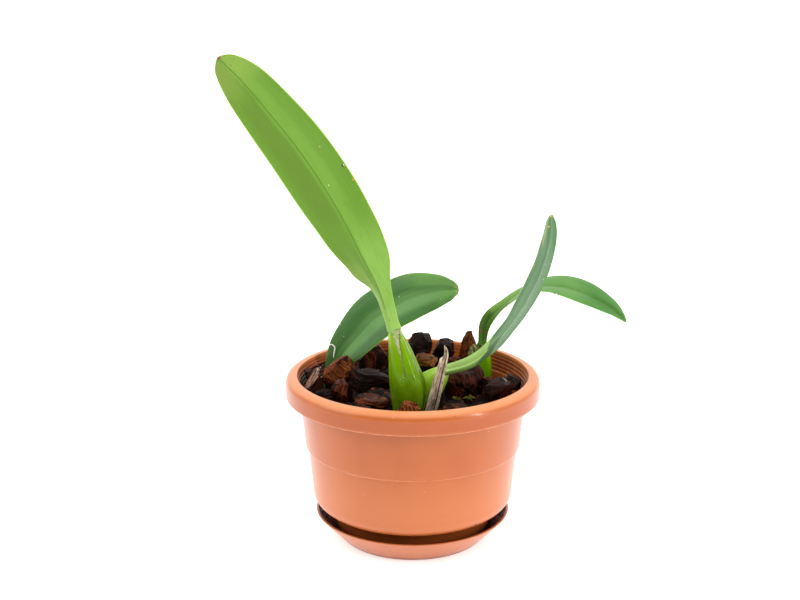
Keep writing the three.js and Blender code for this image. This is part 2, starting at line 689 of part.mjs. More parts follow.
const rhizome = rhizomeSolid();
const bulbs = bulbShapes();
const leafBases = { tall: bulbs.front, left: bulbs.left, right: bulbs.right, back: bulbs.back };
const leaves = {};
for (const [name, base] of Object.entries(leafBases)) {
  leaves[name] = clearOf(bladeSolid(LEAVES[name]), [base]);
}
const driedSheath = clearOf(bladeSolid(DRIED_SHEATH), [bulbs.front, bulbs.right]);
const filmSheath = clearOf(clingingFilm(BULBS.front), [bulbs.front, leaves.tall]);
const witheredStem = stemSolid(WITHERED_SHEATH, WITHERED_SHAPE);
const witheredSheath = clearOf(witheredStem, [bulbs.back, leaves.back, leaves.right]);
const plant = [
  rhizome, ...Object.values(bulbs), ...Object.values(leaves), driedSheath, filmSheath, witheredSheath,
];

const mouth = potRoom();
const largeChips = {};
for (const [name, chip] of Object.entries(LARGE_CHIPS)) {
  const inside = chipSolid(chip).intersect(mouth);
  largeChips[name] = clearOf(inside, [...plant, ...Object.values(largeChips)]);
}

const heap = strewnChips().reduce((sum, chip) => sum.add(chip), bedCore());
const barkBed = clearOf(heap.intersect(mouth), [...plant, ...Object.values(largeChips)]);

const orchid = new THREE.Group();

function addPiece(name, solid, material) {
  const piece = new THREE.Mesh(toGeometry(solid), material);
  piece.name = name;
  orchid.add(piece);
}

addPiece('saucer', saucerSolid(), terracotta());
addPiece('pot', potSolid(), terracotta());
addPiece('bark_bed', barkBed, darkBark());
for (const [name, solid] of Object.entries(largeChips)) {
  addPiece(`bark_chip_${name}`, solid, LARGE_CHIPS[name].look());
}
addPiece('rhizome', rhizome, rootBrown());
for (const [name, solid] of Object.entries(bulbs)) {
  const earlier = name === 'right' ? [rhizome, bulbs.front] : [rhizome];
  addPiece(`pseudobulb_${name}`, clearOf(solid, earlier), bulbGreen());
}
addPiece('leaf_tall', leaves.tall, youngGreen());
addPiece('leaf_left', leaves.left, deepGreen());
addPiece('leaf_right', leaves.right, deepGreen());
addPiece('leaf_back', leaves.back, deepGreen());
addPiece('dried_sheath', driedSheath, dryGrey());
addPiece('clinging_sheath', filmSheath, dryGrey());
addPiece('withered_sheath', witheredSheath, dryGrey());

export default orchid;
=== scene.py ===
"""Potted Bulbophyllum rufinum: the looks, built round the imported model.

Tables and names without a unit are in millimetres; meshes are made in metres, in the model's own frame.
"""

import math
import random

import bmesh
import bpy
from mathutils import Matrix, Vector, noise
from mathutils.bvhtree import BVHTree


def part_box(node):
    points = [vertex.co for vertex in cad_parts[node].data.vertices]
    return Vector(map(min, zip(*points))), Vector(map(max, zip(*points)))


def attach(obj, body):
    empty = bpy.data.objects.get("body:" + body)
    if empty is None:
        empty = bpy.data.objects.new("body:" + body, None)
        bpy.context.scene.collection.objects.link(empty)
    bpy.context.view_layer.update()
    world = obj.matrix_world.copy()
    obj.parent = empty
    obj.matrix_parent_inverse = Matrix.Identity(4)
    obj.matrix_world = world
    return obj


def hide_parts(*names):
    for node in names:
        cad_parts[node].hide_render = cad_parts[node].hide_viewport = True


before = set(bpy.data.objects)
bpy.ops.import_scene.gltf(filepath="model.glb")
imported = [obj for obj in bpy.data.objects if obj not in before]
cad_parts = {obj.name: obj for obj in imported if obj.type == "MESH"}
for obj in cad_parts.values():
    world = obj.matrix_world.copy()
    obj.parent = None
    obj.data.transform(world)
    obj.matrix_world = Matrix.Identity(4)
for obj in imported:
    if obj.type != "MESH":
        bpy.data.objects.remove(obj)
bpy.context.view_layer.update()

MM = 0.001
SEED = 2611

# Pot and saucer

TURN_STEPS = 240
RIM_RADIUS = 65
RIM_TOP_Z = 86.9
LIP_RADIUS = 59
COLLAR_BOTTOM_Z = 76.1
COLLAR_WALL = 1.5
COLLAR_CORNER = 4.2
WALL = 1.4
UPPER_WALL_TOP_R = 57.8
UPPER_WALL_FOOT_R = 55.4
STEP_Z = 49.8
LOWER_WALL_TOP_R = 54
LOWER_WALL_FOOT_R = 51.5
TRAY_Z = 18
FOOT_TURN = 8
FOOT_TURN_Z = 16.9
CUP_TOP_R = 42
CUP_FOOT_R = 33.8
POT_BOTTOM_Z = 2.2
INNER_STEPS = 5
INNER_STEP_RISE = 1.85
INNER_STEP_RUN = 0.52
DRAIN_RADIUS = 3.5
DRAIN_CIRCLE_R = 24
DRAIN_COUNT = 6

SAUCER_FOOT_R = 37.4
SAUCER_LIP_R = 50.4
SAUCER_HEIGHT = 14
SAUCER_WALL = 1.7
SAUCER_FLOOR = 1.9

# Pseudobulbs: stations from foot to neck, each x, y, z and radius

BULBS = {
    "front": [
        (-2.2, -19, 63.5, 5.2),
        (-2.4, -20.2, 72, 7.2),
        (-2.2, -21, 79, 8.6),
        (-2.5, -21.5, 85.2, 8.9),
        (-4.5, -22, 95, 7.6),
        (-7, -22, 106.3, 5.2),
        (-8.6, -22, 112.2, 3.8),
        (-9.6, -22, 116.7, 2.8),
    ],
    "right": [
        (1.6, -3.4, 63.5, 4.4),
        (2.7, -4.8, 71, 6.2),
        (5.4, -6.8, 77.5, 7.2),
        (9.2, -9, 83.2, 7),
        (12.6, -10.6, 87.6, 5.4),
        (15, -11.5, 90.6, 3.7),
        (16.9, -12, 92.6, 2.6),
    ],
    "back": [
        (38.2, 27, 64, 4),
        (38, 27, 76, 4.5),
        (37.8, 26.5, 84, 4.1),
        (37.3, 25, 91, 2.9),
        (37, 24, 95.4, 2.2),
    ],
    "left": [
        (-41.6, 22.6, 53, 3.8),
        (-42.2, 23, 60, 4.8),
        (-42.8, 23.4, 66.5, 3.6),
        (-43.2, 23.8, 70.6, 2.3),
    ],
}
BULB_RIDGES = 5
RIDGE_DEPTH = 0.06
RIDGE_SPIN = 0.3

# Leaves: stations from petiole to tip, each the midrib's place, the half width, the fold of each half in
# degrees, the thickness at the midrib and the direction of one edge of the blade

LEAVES = {
    "tall": [
        ((-9.5, -22, 115), 3, 24, 3, (-0.93, 0.25, -0.27)),
        ((-16, -25, 136), 5.9, 36, 2, (-0.91, 0.27, -0.31)),
        ((-24.8, -28, 154.6), 13.4, 24, 1.5, (-0.91, 0.13, -0.4)),
        ((-33.6, -31, 173.1), 14.6, 14, 1.3, (-0.88, -0.06, -0.46)),
        ((-43.3, -34, 190.6), 15.2, 12, 1.2, (-0.81, -0.22, -0.53)),
        ((-53.8, -37, 207.1), 14.7, 12, 1.2, (-0.78, -0.24, -0.58)),
        ((-65, -41, 222.5), 13.2, 11, 1.1, (-0.76, -0.22, -0.62)),
        ((-76, -45.5, 237), 10.8, 10, 1, (-0.73, -0.19, -0.66)),
        ((-84, -49.4, 246.2), 6.4, 9, 0.9, (-0.72, -0.16, -0.67)),
        ((-87.4, -51, 250), 1.2, 8, 0.8, (-0.71, -0.14, -0.69)),
    ],
    "left": [
        ((-43.3, 23.9, 70.4), 2.6, 40, 2.4, (0.68, -0.72, -0.1)),
        ((-41, 23.6, 80.4), 5.9, 28, 1.8, (0.65, -0.66, -0.38)),
        ((-36, 23, 89.9), 9.8, 22, 1.5, (0.62, -0.58, -0.53)),
        ((-28.1, 22.5, 99.5), 13, 18, 1.3, (0.58, -0.62, -0.53)),
        ((-19.8, 22, 108.5), 14.5, 15, 1.2, (0.48, -0.63, -0.61)),
        ((-9.7, 21, 115.4), 15, 14, 1.2, (0.31, -0.7, -0.65)),
        ((0.8, 19, 121.6), 13, 13, 1.1, (0.25, -0.55, -0.8)),
        ((12.3, 17, 125.2), 9.4, 12, 1, (0.11, -0.39, -0.91)),
        ((20, 15.4, 126.4), 5.6, 11, 0.9, (0.07, -0.25, -0.97)),
        ((23.9, 14.5, 126.4), 1.9, 10, 0.8, (0.06, -0.19, -0.98)),
    ],
    "right": [
        ((15.7, -11.8, 91.4), 2.5, 30, 2.8, (0.24, -0.41, -0.88)),
        ((29.1, -12, 95.5), 3.5, 28, 2.2, (0.33, -0.67, -0.67)),
        ((39.3, -12, 103), 3.8, 22, 1.9, (0.29, -0.89, -0.34)),
        ((47.5, -12.5, 113.1), 5.7, 12, 1.5, (0.17, -0.97, -0.19)),
        ((54.2, -13.5, 124), 8.8, 9, 1.3, (0.19, -0.96, -0.19)),
        ((60, -14.5, 135.6), 9.7, 8, 1.2, (0.23, -0.96, -0.18)),
        ((64.2, -15.5, 147.8), 8.5, 7, 1.1, (0.29, -0.94, -0.18)),
        ((66.6, -17, 160.2), 6.2, 7, 1, (0.44, -0.89, -0.13)),
        ((66.8, -17.7, 168.6), 3.5, 6, 0.9, (0.6, -0.8, -0.08)),
        ((66.5, -18, 172.6), 0.7, 6, 0.8, (0.68, -0.73, -0.04)),
    ],
    "back": [
        ((37.1, 24.4, 94), 2.1, 35, 2.6, (0.92, -0.31, -0.24)),
        ((39.3, 24, 106.4), 3.7, 30, 2.2, (0.73, -0.54, -0.42)),
        ((48.3, 24, 115.6), 4.7, 20, 1.7, (0.16, -0.97, -0.18)),
        ((58.3, 24, 122.5), 6.9, 12, 1.4, (0, -1, -0.05)),
        ((69.2, 23.5, 126), 8.8, 9, 1.2, (-0.04, -0.98, -0.19)),
        ((80.4, 22.5, 125.3), 9.4, 8, 1.2, (-0.17, -0.9, -0.4)),
        ((91.5, 21, 121.9), 8.5, 8, 1.1, (-0.33, -0.82, -0.47)),
        ((102.1, 19, 116.4), 6.3, 8, 1, (-0.46, -0.81, -0.37)),
        ((107.9, 17, 112), 3.4, 7, 0.9, (-0.49, -0.81, -0.31)),
        ((110.8, 16, 109), 0.8, 6, 0.8, (-0.51, -0.81, -0.28)),
    ],
}

# The dried sheath, given as a leaf is

DRIED_SHEATH = [
    ((7, -25.6, 69), 2.9, 38, 1.4, (0.95, 0.2, -0.1)),
    ((9.3, -26, 78), 3.4, 36, 1.4, (0.96, 0.15, -0.12)),
    ((12, -26.3, 90), 3.1, 34, 1.3, (0.97, 0.1, -0.14)),
    ((14.4, -26.7, 100.5), 2.4, 32, 1.2, (0.97, 0.1, -0.2)),
    ((15.5, -27, 105.5), 1.8, 30, 1.1, (0.97, 0.1, -0.2)),
    ((15.2, -27.1, 109.3), 0.5, 26, 0.9, (0.97, 0.1, -0.2)),
]

# Large bark chips: the turn of each chip's layers in degrees, and its bark

CHIPS = {
    "back_left": ((70, 12, 0), "sooty"),
    "back": ((62, 34, 0), "dark"),
    "back_pointed": ((0, 96, -8), "russet"),
    "back_dark": ((0, 82, 10), "red"),
    "tan_slab": ((28, 0, 8), "tan"),
    "behind_petiole": ((0, 55, 20), "red"),
    "leaning": ((0, 42, 6), "russet"),
    "left_plate": ((0, -68, 8), "red"),
    "left_pale": ((0, -66, 10), "pale"),
    "long_dark": ((40, 4, 4), "dark"),
    "front_left": ((-28, 8, -6), "red"),
    "front_small": ((0, 75, 6), "russet"),
    "right_large": ((6, 60, -14), "sooty"),
    "right_black": ((20, -64, -12), "dark"),
    "right_wide": ((52, -12, 14), "plum"),
    "far_right": ((0, 64, 30), "dark"),
    "far_left": ((0, 80, -10), "dark"),
    "front_right": ((12, 0, -14), "russet"),
    "right_small": ((-30, 10, 0), "red"),
}


# Colour and node helpers

def srgb(code):
    """A hex colour as the linear colour that shaders take."""
    channels = [int(code[i:i + 2], 16) / 255 for i in (1, 3, 5)]
    linear = [c / 12.92 if c <= 0.04045 else ((c + 0.055) / 1.055) ** 2.4 for c in channels]
    return (*linear, 1.0)


def feed(tree, node, feeds):
    """Gives a node's sockets their values, or the node or socket that they read."""
    for key, value in feeds.items():
        if isinstance(key, int):
            socket = node.inputs[key]
        else:
            socket = next(s for s in node.inputs if s.name == key and s.enabled)
        if isinstance(value, bpy.types.Node):
            value = next(s for s in value.outputs if s.enabled)
        if isinstance(value, bpy.types.NodeSocket):
            tree.links.new(value, socket)
        else:
            socket.default_value = value


def add(tree, kind, feeds=None, stops=None, **settings):
    """Adds a node with its settings and feeds; stops are a colour ramp's places and colours."""
    made = tree.nodes.new("ShaderNode" + kind)
    for name, value in settings.items():
        setattr(made, name, value)
    feed(tree, made, feeds or {})
    if stops:
        ramp = made.color_ramp
        while len(ramp.elements) < len(stops):
            ramp.elements.new(1.0)
        for element, (place, colour) in zip(ramp.elements, stops):
            element.position = place
            element.color = colour
    return made


def shader(name, **values):
    """A new material: its tree and its shader, with uniform values on the shader's own sockets."""
    material = bpy.data.materials.new(name)
    material.use_nodes = True
    surface = material.node_tree.nodes["Principled BSDF"]
    for socket, value in values.items():
        surface.inputs[socket.replace("_", " ")].default_value = value
    return material, material.node_tree, surface


def place_on_object(tree):
    """The place on the finished piece, in millimetres."""
    metres = add(tree, "TexCoord").outputs["Object"]
    return add(tree, "VectorMath", {0: metres, "Scale": 1 / MM}, operation="SCALE")


def clouds(tree, place, width, stretch=(1, 1, 1), detail=3.0):
    """Cloudy patches about width millimetres across, drawn out along the axes by stretch."""
    scaled = add(tree, "Mapping", {"Vector": place, "Scale": [1 / (width * pull) for pull in stretch]})
    return add(tree, "TexNoise", {"Vector": scaled, "Scale": 1.0, "Detail": detail})


def strip(tree, value, start, full, fade, end):
    """A mask that rises from start to full and falls again from fade to end."""
    rise = add(tree, "MapRange", {"Value": value, "From Min": start, "From Max": full},
               interpolation_type="SMOOTHSTEP")
    fall = add(tree, "MapRange", {"Value": value, "From Min": end, "From Max": fade},
               interpolation_type="SMOOTHSTEP")
    return add(tree, "Math", {0: rise, 1: fall}, operation="MULTIPLY")


def painted(tree, base, tint, mask, low=0.0, high=1.0, strength=1.0):
    """Lays a tint over a colour where a mask goes from low to high."""
    cover = add(tree, "MapRange", {"Value": mask, "From Min": low, "From Max": high, "To Max": strength},
                interpolation_type="SMOOTHSTEP")
    return add(tree, "Mix", {"Factor": cover, "A": base, "B": tint}, data_type="RGBA")


def spotted(tree, base, place, spots):
    """Dots small spots over a colour, each given as its centre, radius and tint."""
    for centre, radius, tint in spots:
        off = add(tree, "VectorMath", {0: place, 1: centre}, operation="DISTANCE").outputs["Value"]
        base = painted(tree, base, srgb(tint), off, radius * 1.25, radius * 0.75)
    return base


def bumpy(tree, surface, height, size, strength=1.0):
    """Raises the shading by a pattern's height of size millimetres."""
    relief = add(tree, "Bump", {"Height": height, "Strength": strength, "Distance": size * MM})
    feed(tree, surface, {"Normal": relief})


# Plastic materials

# Specks on the pot's wall, each at its pixel of the photograph, with its radius and tint

SPECKS = [(314, 427, 0.35, "#5c2a14"), (395, 487, 0.3, "#8a4422"), (363.7, 494, 0.25, "#cf8a62"),
          (444.6, 520, 0.25, "#cf8a62"), (425, 491.8, 0.25, "#c9835a"), (455.5, 416.4, 0.3, "#8f4a28"),
          (393, 417.9, 0.3, "#c98058"), (333, 470, 0.25, "#8a4422"), (478, 455, 0.25, "#a05a34"),
          (489, 431, 0.25, "#cf8a62"), (371, 446, 0.2, "#98502c")]

# Where marks of use and painted light lie on the pot: the radii, heights or places from left to right at
# which each starts, is full, fades and ends

MOUTH_RADII = (40, 45, LIP_RADIUS, LIP_RADIUS + 0.4)
MOUTH_SHADE_HEIGHTS = (COLLAR_BOTTOM_Z, COLLAR_BOTTOM_Z + 0.8, 84, 87.5)
RING_RADII = (40, 45, LIP_RADIUS - 0.8, LIP_RADIUS - 0.4)
RING_PEAT_HEIGHTS = (79.2, 79.6, 82, 85)
INNER_WALL_RADII = (40, 45, UPPER_WALL_TOP_R - 1, UPPER_WALL_TOP_R - 0.7)
WALL_PEAT_HEIGHTS = (68, 69, 90, 91)
LEFT_SIDE = (-80, -79, -30, 5)
OUTER_RADII = (LOWER_WALL_TOP_R - 0.6, LOWER_WALL_TOP_R, 70, 71)
COLLAR_RADII = (RIM_RADIUS - 1, RIM_RADIUS - 0.4, 70, 71)
COLLAR_SHADE_HEIGHTS = (76.8, 78, 81.5, 84)
# The collar's lower edge and the step's edge, which carry painted highlights
HIGHLIT_EDGES = (COLLAR_BOTTOM_Z + 0.2, STEP_Z - 0.3)

# The heights from which the plastic keeps its own colour down to fully browned near its foot:
# partly a wet stain and partly painted shade

POT_DAMP_AND_SHADE = (22.5, 18)
SAUCER_DAMP_AND_SHADE = (4.5, 2)


def pot_plastic(name, damp_and_shade, specks=None):
    """Injection-moulded polypropylene, coloured through: an even brick orange with a satin shine, with
    painted light from the table that makes it paler low down, and browner near its foot, partly a wet
    stain and partly painted shade. The pot itself has marks of use, painted light and specks too."""
    material, tree, surface = shader(name, Roughness=0.36, IOR=1.49, Specular_IOR_Level=0.3,
                                     Coat_Weight=0.3, Coat_Roughness=0.15)
    place = place_on_object(tree)
    height = add(tree, "SeparateXYZ", {"Vector": place}).outputs["Z"]
    cloud = clouds(tree, place, 22, stretch=(1, 1, 2))
    grime = clouds(tree, place, 5, stretch=(1, 1, 2.5))
    ragged = add(tree, "Math", {0: grime, 1: 3.0, 2: height}, operation="MULTIPLY_ADD")
    colour = painted(tree, srgb("#a4521f"), srgb("#a95622"), cloud, 0.35, 0.65)
    # Painted light: the wall is paler low down, where light from the table falls on it
    colour = painted(tree, colour, srgb("#ba693a"), height, 60, 26, 0.8)
    # Browner near the foot: partly a wet stain and partly painted shade, where the pot stands in the
    # saucer and the saucer on the table
    colour = painted(tree, colour, srgb("#8a3f12"), ragged, *damp_and_shade, 0.8)
    if specks:
        colour = marks_and_painted_light(tree, colour, place, grime, ragged)
        colour = spotted(tree, colour, place, specks)
    feed(tree, surface, {"Base Color": colour})
    # The mould's grain of about 0.2 mm is drawn 1.6 mm wide, so that it shows
    bumpy(tree, surface, clouds(tree, place, 1.6), 0.02)
    return material


def marks_and_painted_light(tree, colour, place, grime, ragged):
    """Marks of use and painted light on the pot: painted shade inside its mouth, made patchy like a brown
    film, a painted highlight on top of the rim, painted highlights along two pale edges, peat that clings
    inside on the left, and painted shade on the collar's face."""
    split = add(tree, "SeparateXYZ", {"Vector": place})
    height = split.outputs["Z"]
    flat = add(tree, "CombineXYZ", {"X": split.outputs["X"], "Y": split.outputs["Y"]})
    radius = add(tree, "VectorMath", {0: flat}, operation="LENGTH").outputs["Value"]

    def belt(radii, level, heights):
        return add(tree, "Math", {0: strip(tree, radius, *radii), 1: strip(tree, level, *heights)},
                   operation="MULTIPLY")

    # Painted shade inside the mouth, made patchy by the grime pattern like a brown film
    film = add(tree, "Math", {0: belt(MOUTH_RADII, height, MOUTH_SHADE_HEIGHTS), 1: grime}, operation="MULTIPLY")
    colour = painted(tree, colour, srgb("#6a2f14"), film, 0.3, 0.7, 0.6)
    # Painted highlight: the top of the rim is painted paler
    colour = painted(tree, colour, srgb("#d6854f"), height, RIM_TOP_Z - 2.6, RIM_TOP_Z - 0.6, 0.75)
    # Painted highlights along the collar's lower edge and the step, made patchy by the grime pattern
    for edge in HIGHLIT_EDGES:
        sheen = belt(OUTER_RADII, height, (edge - 0.5, edge - 0.2, edge + 0.2, edge + 0.5))
        patchy = add(tree, "Math", {0: sheen, 1: grime}, operation="MULTIPLY")
        colour = painted(tree, colour, srgb("#e0a07a"), patchy, 0.2, 0.7, 0.5)
    peat = add(tree, "Math", {0: belt(RING_RADII, ragged, RING_PEAT_HEIGHTS),
                              1: belt(INNER_WALL_RADII, height, WALL_PEAT_HEIGHTS)}, operation="MAXIMUM")
    leftward = strip(tree, split.outputs["X"], *LEFT_SIDE)
    peat = add(tree, "Math", {0: peat, 1: leftward}, operation="MULTIPLY")
    colour = painted(tree, colour, srgb("#2a1208"), peat, 0.1, 0.8, 0.92)
    # Painted shade on the collar's face
    face = belt(COLLAR_RADII, height, COLLAR_SHADE_HEIGHTS)
    return painted(tree, colour, srgb("#984210"), face, strength=0.5)


def wet_stain():
    """The same plastic under a wet film of peat and bark dust: dark red brown, with a mirror's glints
    where water stands."""
    material, tree, surface = shader("peat_stained_wet_plastic", IOR=1.36)
    place = place_on_object(tree)
    patch = clouds(tree, place, 7, detail=5.0)
    colour = add(tree, "ValToRGB", {"Fac": patch}, stops=[
        (0.36, srgb("#321a1b")), (0.5, srgb("#562f2b")), (0.66, srgb("#96645a"))])
    rough = add(tree, "MapRange", {"Value": patch, "From Min": 0.4, "From Max": 0.7, "To Min": 0.05,
                                   "To Max": 0.35})
    feed(tree, surface, {"Base Color": colour, "Roughness": rough})
    bumpy(tree, surface, clouds(tree, place, 4), 2.4)
    return material


# Bark materials: each kind's crust, dark fibre, pale fibre and crest, which is partly dust and partly
# painted sheen, and how far its crust spreads

BARKS = {
    "dark": ("#0b0404", "#220c08", "#3c180f", "#582e20", 0.33),
    "sooty": ("#0b0404", "#1e0b07", "#4a2012", "#6e3a24", 0.3),
    "plum": ("#1c0a08", "#32140e", "#4c2116", "#6c3c2c", 0.2),
    "red": ("#0e0505", "#260e07", "#602a13", "#935230", 0.15),
    "russet": ("#140705", "#3c190a", "#7c3e1b", "#ac6c3c", -0.05),
    "tan": ("#4a2812", "#6a3d1a", "#9c6432", "#c28e54", -0.3),
    "pale": ("#2a1711", "#6a4535", "#b08a76", "#e0ccbc", -0.15),
}
BARK_SHADOW = "#070303"


def bark(kind):
    """Composted pine bark, broken and wet: near-black cork crust on the layers' faces, red-brown fibre
    on the broken edges, painted shade in the crevices and pits, and paler crests, partly dust and partly a
    painted sheen. It reads the attributes of the broken skin: the place in the grain, the relief, how
    broken it is and each layer's own tone."""
    crust, shade, flesh, crest, share = BARKS[kind]
    material, tree, surface = shader(f"pine_bark_{kind}", IOR=1.45, Specular_IOR_Level=0.16,
                                     Specular_Tint=(1.0, 0.7, 0.6, 1.0))
    grain = add(tree, "Attribute", attribute_name="grain").outputs["Vector"]
    relief = add(tree, "Attribute", attribute_name="relief").outputs["Fac"]
    broken = add(tree, "Attribute", attribute_name="broken").outputs["Fac"]
    layer = add(tree, "Attribute", attribute_name="layer").outputs["Fac"]
    patch = clouds(tree, grain, 9, detail=4.0)
    # The fibres of about 0.2 mm are drawn 0.75 mm wide, so that they show
    fibre = clouds(tree, grain, 0.75, stretch=(14, 1, 0.8), detail=5.0)
    dust = clouds(tree, grain, 0.6)
    flesh_tone = painted(tree, srgb(shade), srgb(flesh), fibre, 0.38, 0.54)
    flesh_tone = painted(tree, flesh_tone, srgb(crest), fibre, 0.54, 0.72, 0.6)
    crust_tone = painted(tree, srgb(crust), srgb(shade), fibre, 0.5, 0.7)
    exposure = add(tree, "Math", {0: patch, 1: 2.2, 2: broken}, operation="MULTIPLY_ADD")
    exposure = add(tree, "Math", {0: layer, 1: 0.4, 2: exposure}, operation="MULTIPLY_ADD")
    tone = painted(tree, crust_tone, flesh_tone, exposure, 1.35 + share, 1.6 + share)
    # Painted shade in the crevices and pits, where the relief is low
    tone = painted(tree, tone, srgb(BARK_SHADOW), relief, 0.4, 0.2, 0.8)
    # Pale dust and painted sheen on the raised crests
    sheen = add(tree, "Math", {0: relief, 1: dust}, operation="MULTIPLY")
    tone = painted(tree, tone, srgb(crest), sheen, 0.4, 0.52, 0.5)
    rough = add(tree, "MapRange", {"Value": patch, "From Min": 0.35, "From Max": 0.65, "To Min": 0.28,
                                   "To Max": 0.6})
    feed(tree, surface, {"Base Color": tone, "Roughness": rough})
    height = add(tree, "Math", {0: dust, 1: 0.6, 2: fibre}, operation="MULTIPLY_ADD")
    bumpy(tree, surface, height, 0.7, 0.8)
    return material


# Plant materials

# The reach of a band that covers a leaf from edge to edge

WHOLE_WIDTH = (-1.2, -1.1, 1.1, 1.2)

# Each leaf's look: the shine of its upper and lower face; its tints; how far its bands slant; the midrib
# line's tint, half width and strength; bands of a tint, each with where it starts, is full, fades and ends
# across (-1 to 1) and along the leaf in millimetres, and its strength; and spots, each at its pixel of the
# photograph, with its radius and tint

LEAF_LOOKS = {
    "tall": {
        "name": "young_leaf_skin", "slot": "leaf_young", "shine": (0.34, 0.5),
        "upper": "#568a2e", "under": "#598022", "deep": "#4c6c1a", "slant": 0,
        "rib": ("#456c18", 0.5, 0.75), "rim": "#93b92f",
        # The first band, paler beside the midrib on the right half, is a painted sheen
        "bands": [("#628a28", (-0.6, -0.3, 0.0, 0.18), (0, 20, 135, 150), 0.9),
                  ("#567620", (0.06, 0.18, 0.6, 0.9), (50, 75, 130, 142), 0.9),
                  ("#779f42", (-1.2, -1.1, -0.12, 0.02), (-20, -10, 26, 74), 0.95),
                  ("#779444", (0.12, 0.4, 1.1, 1.2), (-20, -10, 18, 60), 0.95),
                  ("#85a85a", (0.3, 0.6, 1.1, 1.2), (4, 12, 18, 32), 0.8),
                  ("#82a84c", WHOLE_WIDTH, (-20, -10, 6, 18), 0.9),
                  ("#749236", (-1.2, -1.1, 0.0, 0.3), (132, 154, 200, 210), 0.9),
                  ("#6d8434", (0.0, 0.3, 1.1, 1.2), (128, 154, 200, 210), 0.9)],
        "spots": [(343, 165, 0.55, "#4a2f1c"), (343.6, 165.3, 0.25, "#efe8dc"),
                  (352.6, 179.6, 0.4, "#b8703a"), (366, 283.2, 0.35, "#20262a"),
                  (218.5, 57.6, 0.9, "#7a4a32"), (231, 65.6, 0.35, "#6f6a35"), (319, 147, 0.3, "#b4a85c"),
                  (329, 185.3, 0.22, "#e4ead0"), (389.4, 319.4, 0.3, "#7d5a2e")],
    },
    "left": {
        "name": "mature_leaf_skin", "slot": "leaf_mature", "shine": (0.3, 0.5),
        "upper": "#3e6631", "under": "#68934c", "deep": "#2c5022", "slant": 0,
        "rib": None, "rim": "#84ad3a",
        "bands": [("#5e874b", (-0.42, -0.04, 0.25, 0.8), (-20, -10, 200, 210), 1.0),
                  ("#6a9450", (-1.2, -1.1, -0.5, -0.1), (58, 84, 200, 210), 0.8),
                  ("#608f46", (-0.5, 0.0, 1.1, 1.2), (76, 92, 200, 210), 0.85),
                  ("#8fb063", WHOLE_WIDTH, (90, 96, 200, 210), 0.7)],
        "spots": [(331, 322, 0.35, "#d9dccb"), (344, 337, 0.22, "#c6d2bb"), (340, 325, 0.2, "#c6d2bb"),
                  (398.5, 297, 0.25, "#b9cfae"), (455, 287, 0.35, "#b0894a"),
                  (458.2, 292.3, 0.5, "#8a6a3c"), (423, 296, 0.2, "#a9c79c"),
                  (440.8, 299, 0.2, "#a9c79c")],
    },
    "right": {
        "name": "waxy_leaf_skin", "slot": "leaf_mature", "shine": (0.27, 0.45),
        # The upper face's greyish tint and the first three bands are partly the leaf's wax bloom and
        # partly a painted reflection of the white surroundings
        "upper": "#557a53", "under": "#6f9a40", "deep": "#44703c", "slant": 9,
        "rib": ("#a9c4a4", 0.3, 0.3), "rim": "#4f8a26",
        "bands": [("#6c8a68", (-0.65, -0.25, 1.1, 1.2), (20, 30, 58, 74), 1.0),
                  ("#6c876a", (0.45, 0.7, 1.1, 1.2), (28, 36, 92, 100), 0.7),
                  ("#658363", (-0.5, -0.3, -0.2, 0.05), (50, 60, 84, 94), 0.7),
                  ("#3f6c30", (-1.2, -1.1, -0.8, -0.45), (20, 30, 84, 90), 0.95),
                  ("#8f9a6c", (-1.2, -1.1, -0.6, -0.3), (76, 86, 200, 210), 0.8),
                  # A painted sheen beside the midrib
                  ("#9db596", (0.0, 0.08, 0.14, 0.3), (28, 42, 74, 96), 0.7),
                  ("#4f8a26", (-1.2, -1.1, -0.95, -0.82), (44, 56, 150, 160), 0.85),
                  ("#94b462", WHOLE_WIDTH, (-30, -20, 22, 25), 1.0),
                  ("#2c481a", (-0.3, 0.1, 1.1, 1.2), (23, 25, 30, 37), 1.0),
                  ("#465f14", (0.3, 0.6, 1.1, 1.2), (-30, -20, 22, 26), 0.85)],
        "spots": [(532.4, 269, 0.45, "#9a5a2c"), (533.8, 265.6, 0.5, "#b06a34"),
                  (542.4, 243, 0.4, "#a35d35"), (551, 216, 0.7, "#b9a85e"), (548.6, 226.6, 0.5, "#c9a95c"),
                  (543.6, 280, 0.25, "#c3d8bf"), (546, 264.8, 0.25, "#a9c4a4"),
                  (551.4, 265.2, 0.25, "#a9c4a4"), (542, 273, 0.25, "#b4ccb0")],
    },
    "back": {
        "name": "arching_leaf_skin", "slot": "leaf_mature", "shine": (0.34, 0.5),
        "upper": "#57843f", "under": "#55823e", "deep": "#3c6424", "slant": 0,
        "rib": ("#5b5a31", 0.28, 0.6), "rim": "#7dae38",
        "bands": [("#437333", WHOLE_WIDTH, (58, 80, 200, 210), 0.9),
                  # Painted shade in the fold along the midrib towards the tip
                  ("#326619", (-0.5, 0.0, 0.3, 0.8), (64, 86, 200, 210), 0.95),
                  ("#42681a", WHOLE_WIDTH, (-20, -10, 16, 21), 1.0),
                  ("#76582c", WHOLE_WIDTH, (6.6, 7.4, 8, 9), 0.75),
                  ("#6a9038", (-1.2, -1.1, -0.2, 0.05), (16, 21, 36, 44), 0.95),
                  ("#4e722a", (-0.1, 0.1, 1.1, 1.2), (16, 20, 27, 31), 0.95),
                  ("#6b904c", (0.0, 0.15, 1.1, 1.2), (27, 31, 38, 46), 0.9)],
        "spots": [(554, 294, 0.5, "#5a3a22"), (556.4, 294.6, 0.4, "#f0e4da"),
                  (558.6, 295.4, 0.4, "#5a3a22")],
    },
}


# A leaf's two faces lie 2 apart in its attribute: this stretch gives both the same pattern
FACE_STRETCH = 1000

# How far the clouds shift a band's ends along a leaf
BAND_DRIFT = 4.0

# Where along a leaf its midrib line starts and is full; it never fades
RIB_STRETCH = (12, 30, 900, 901)


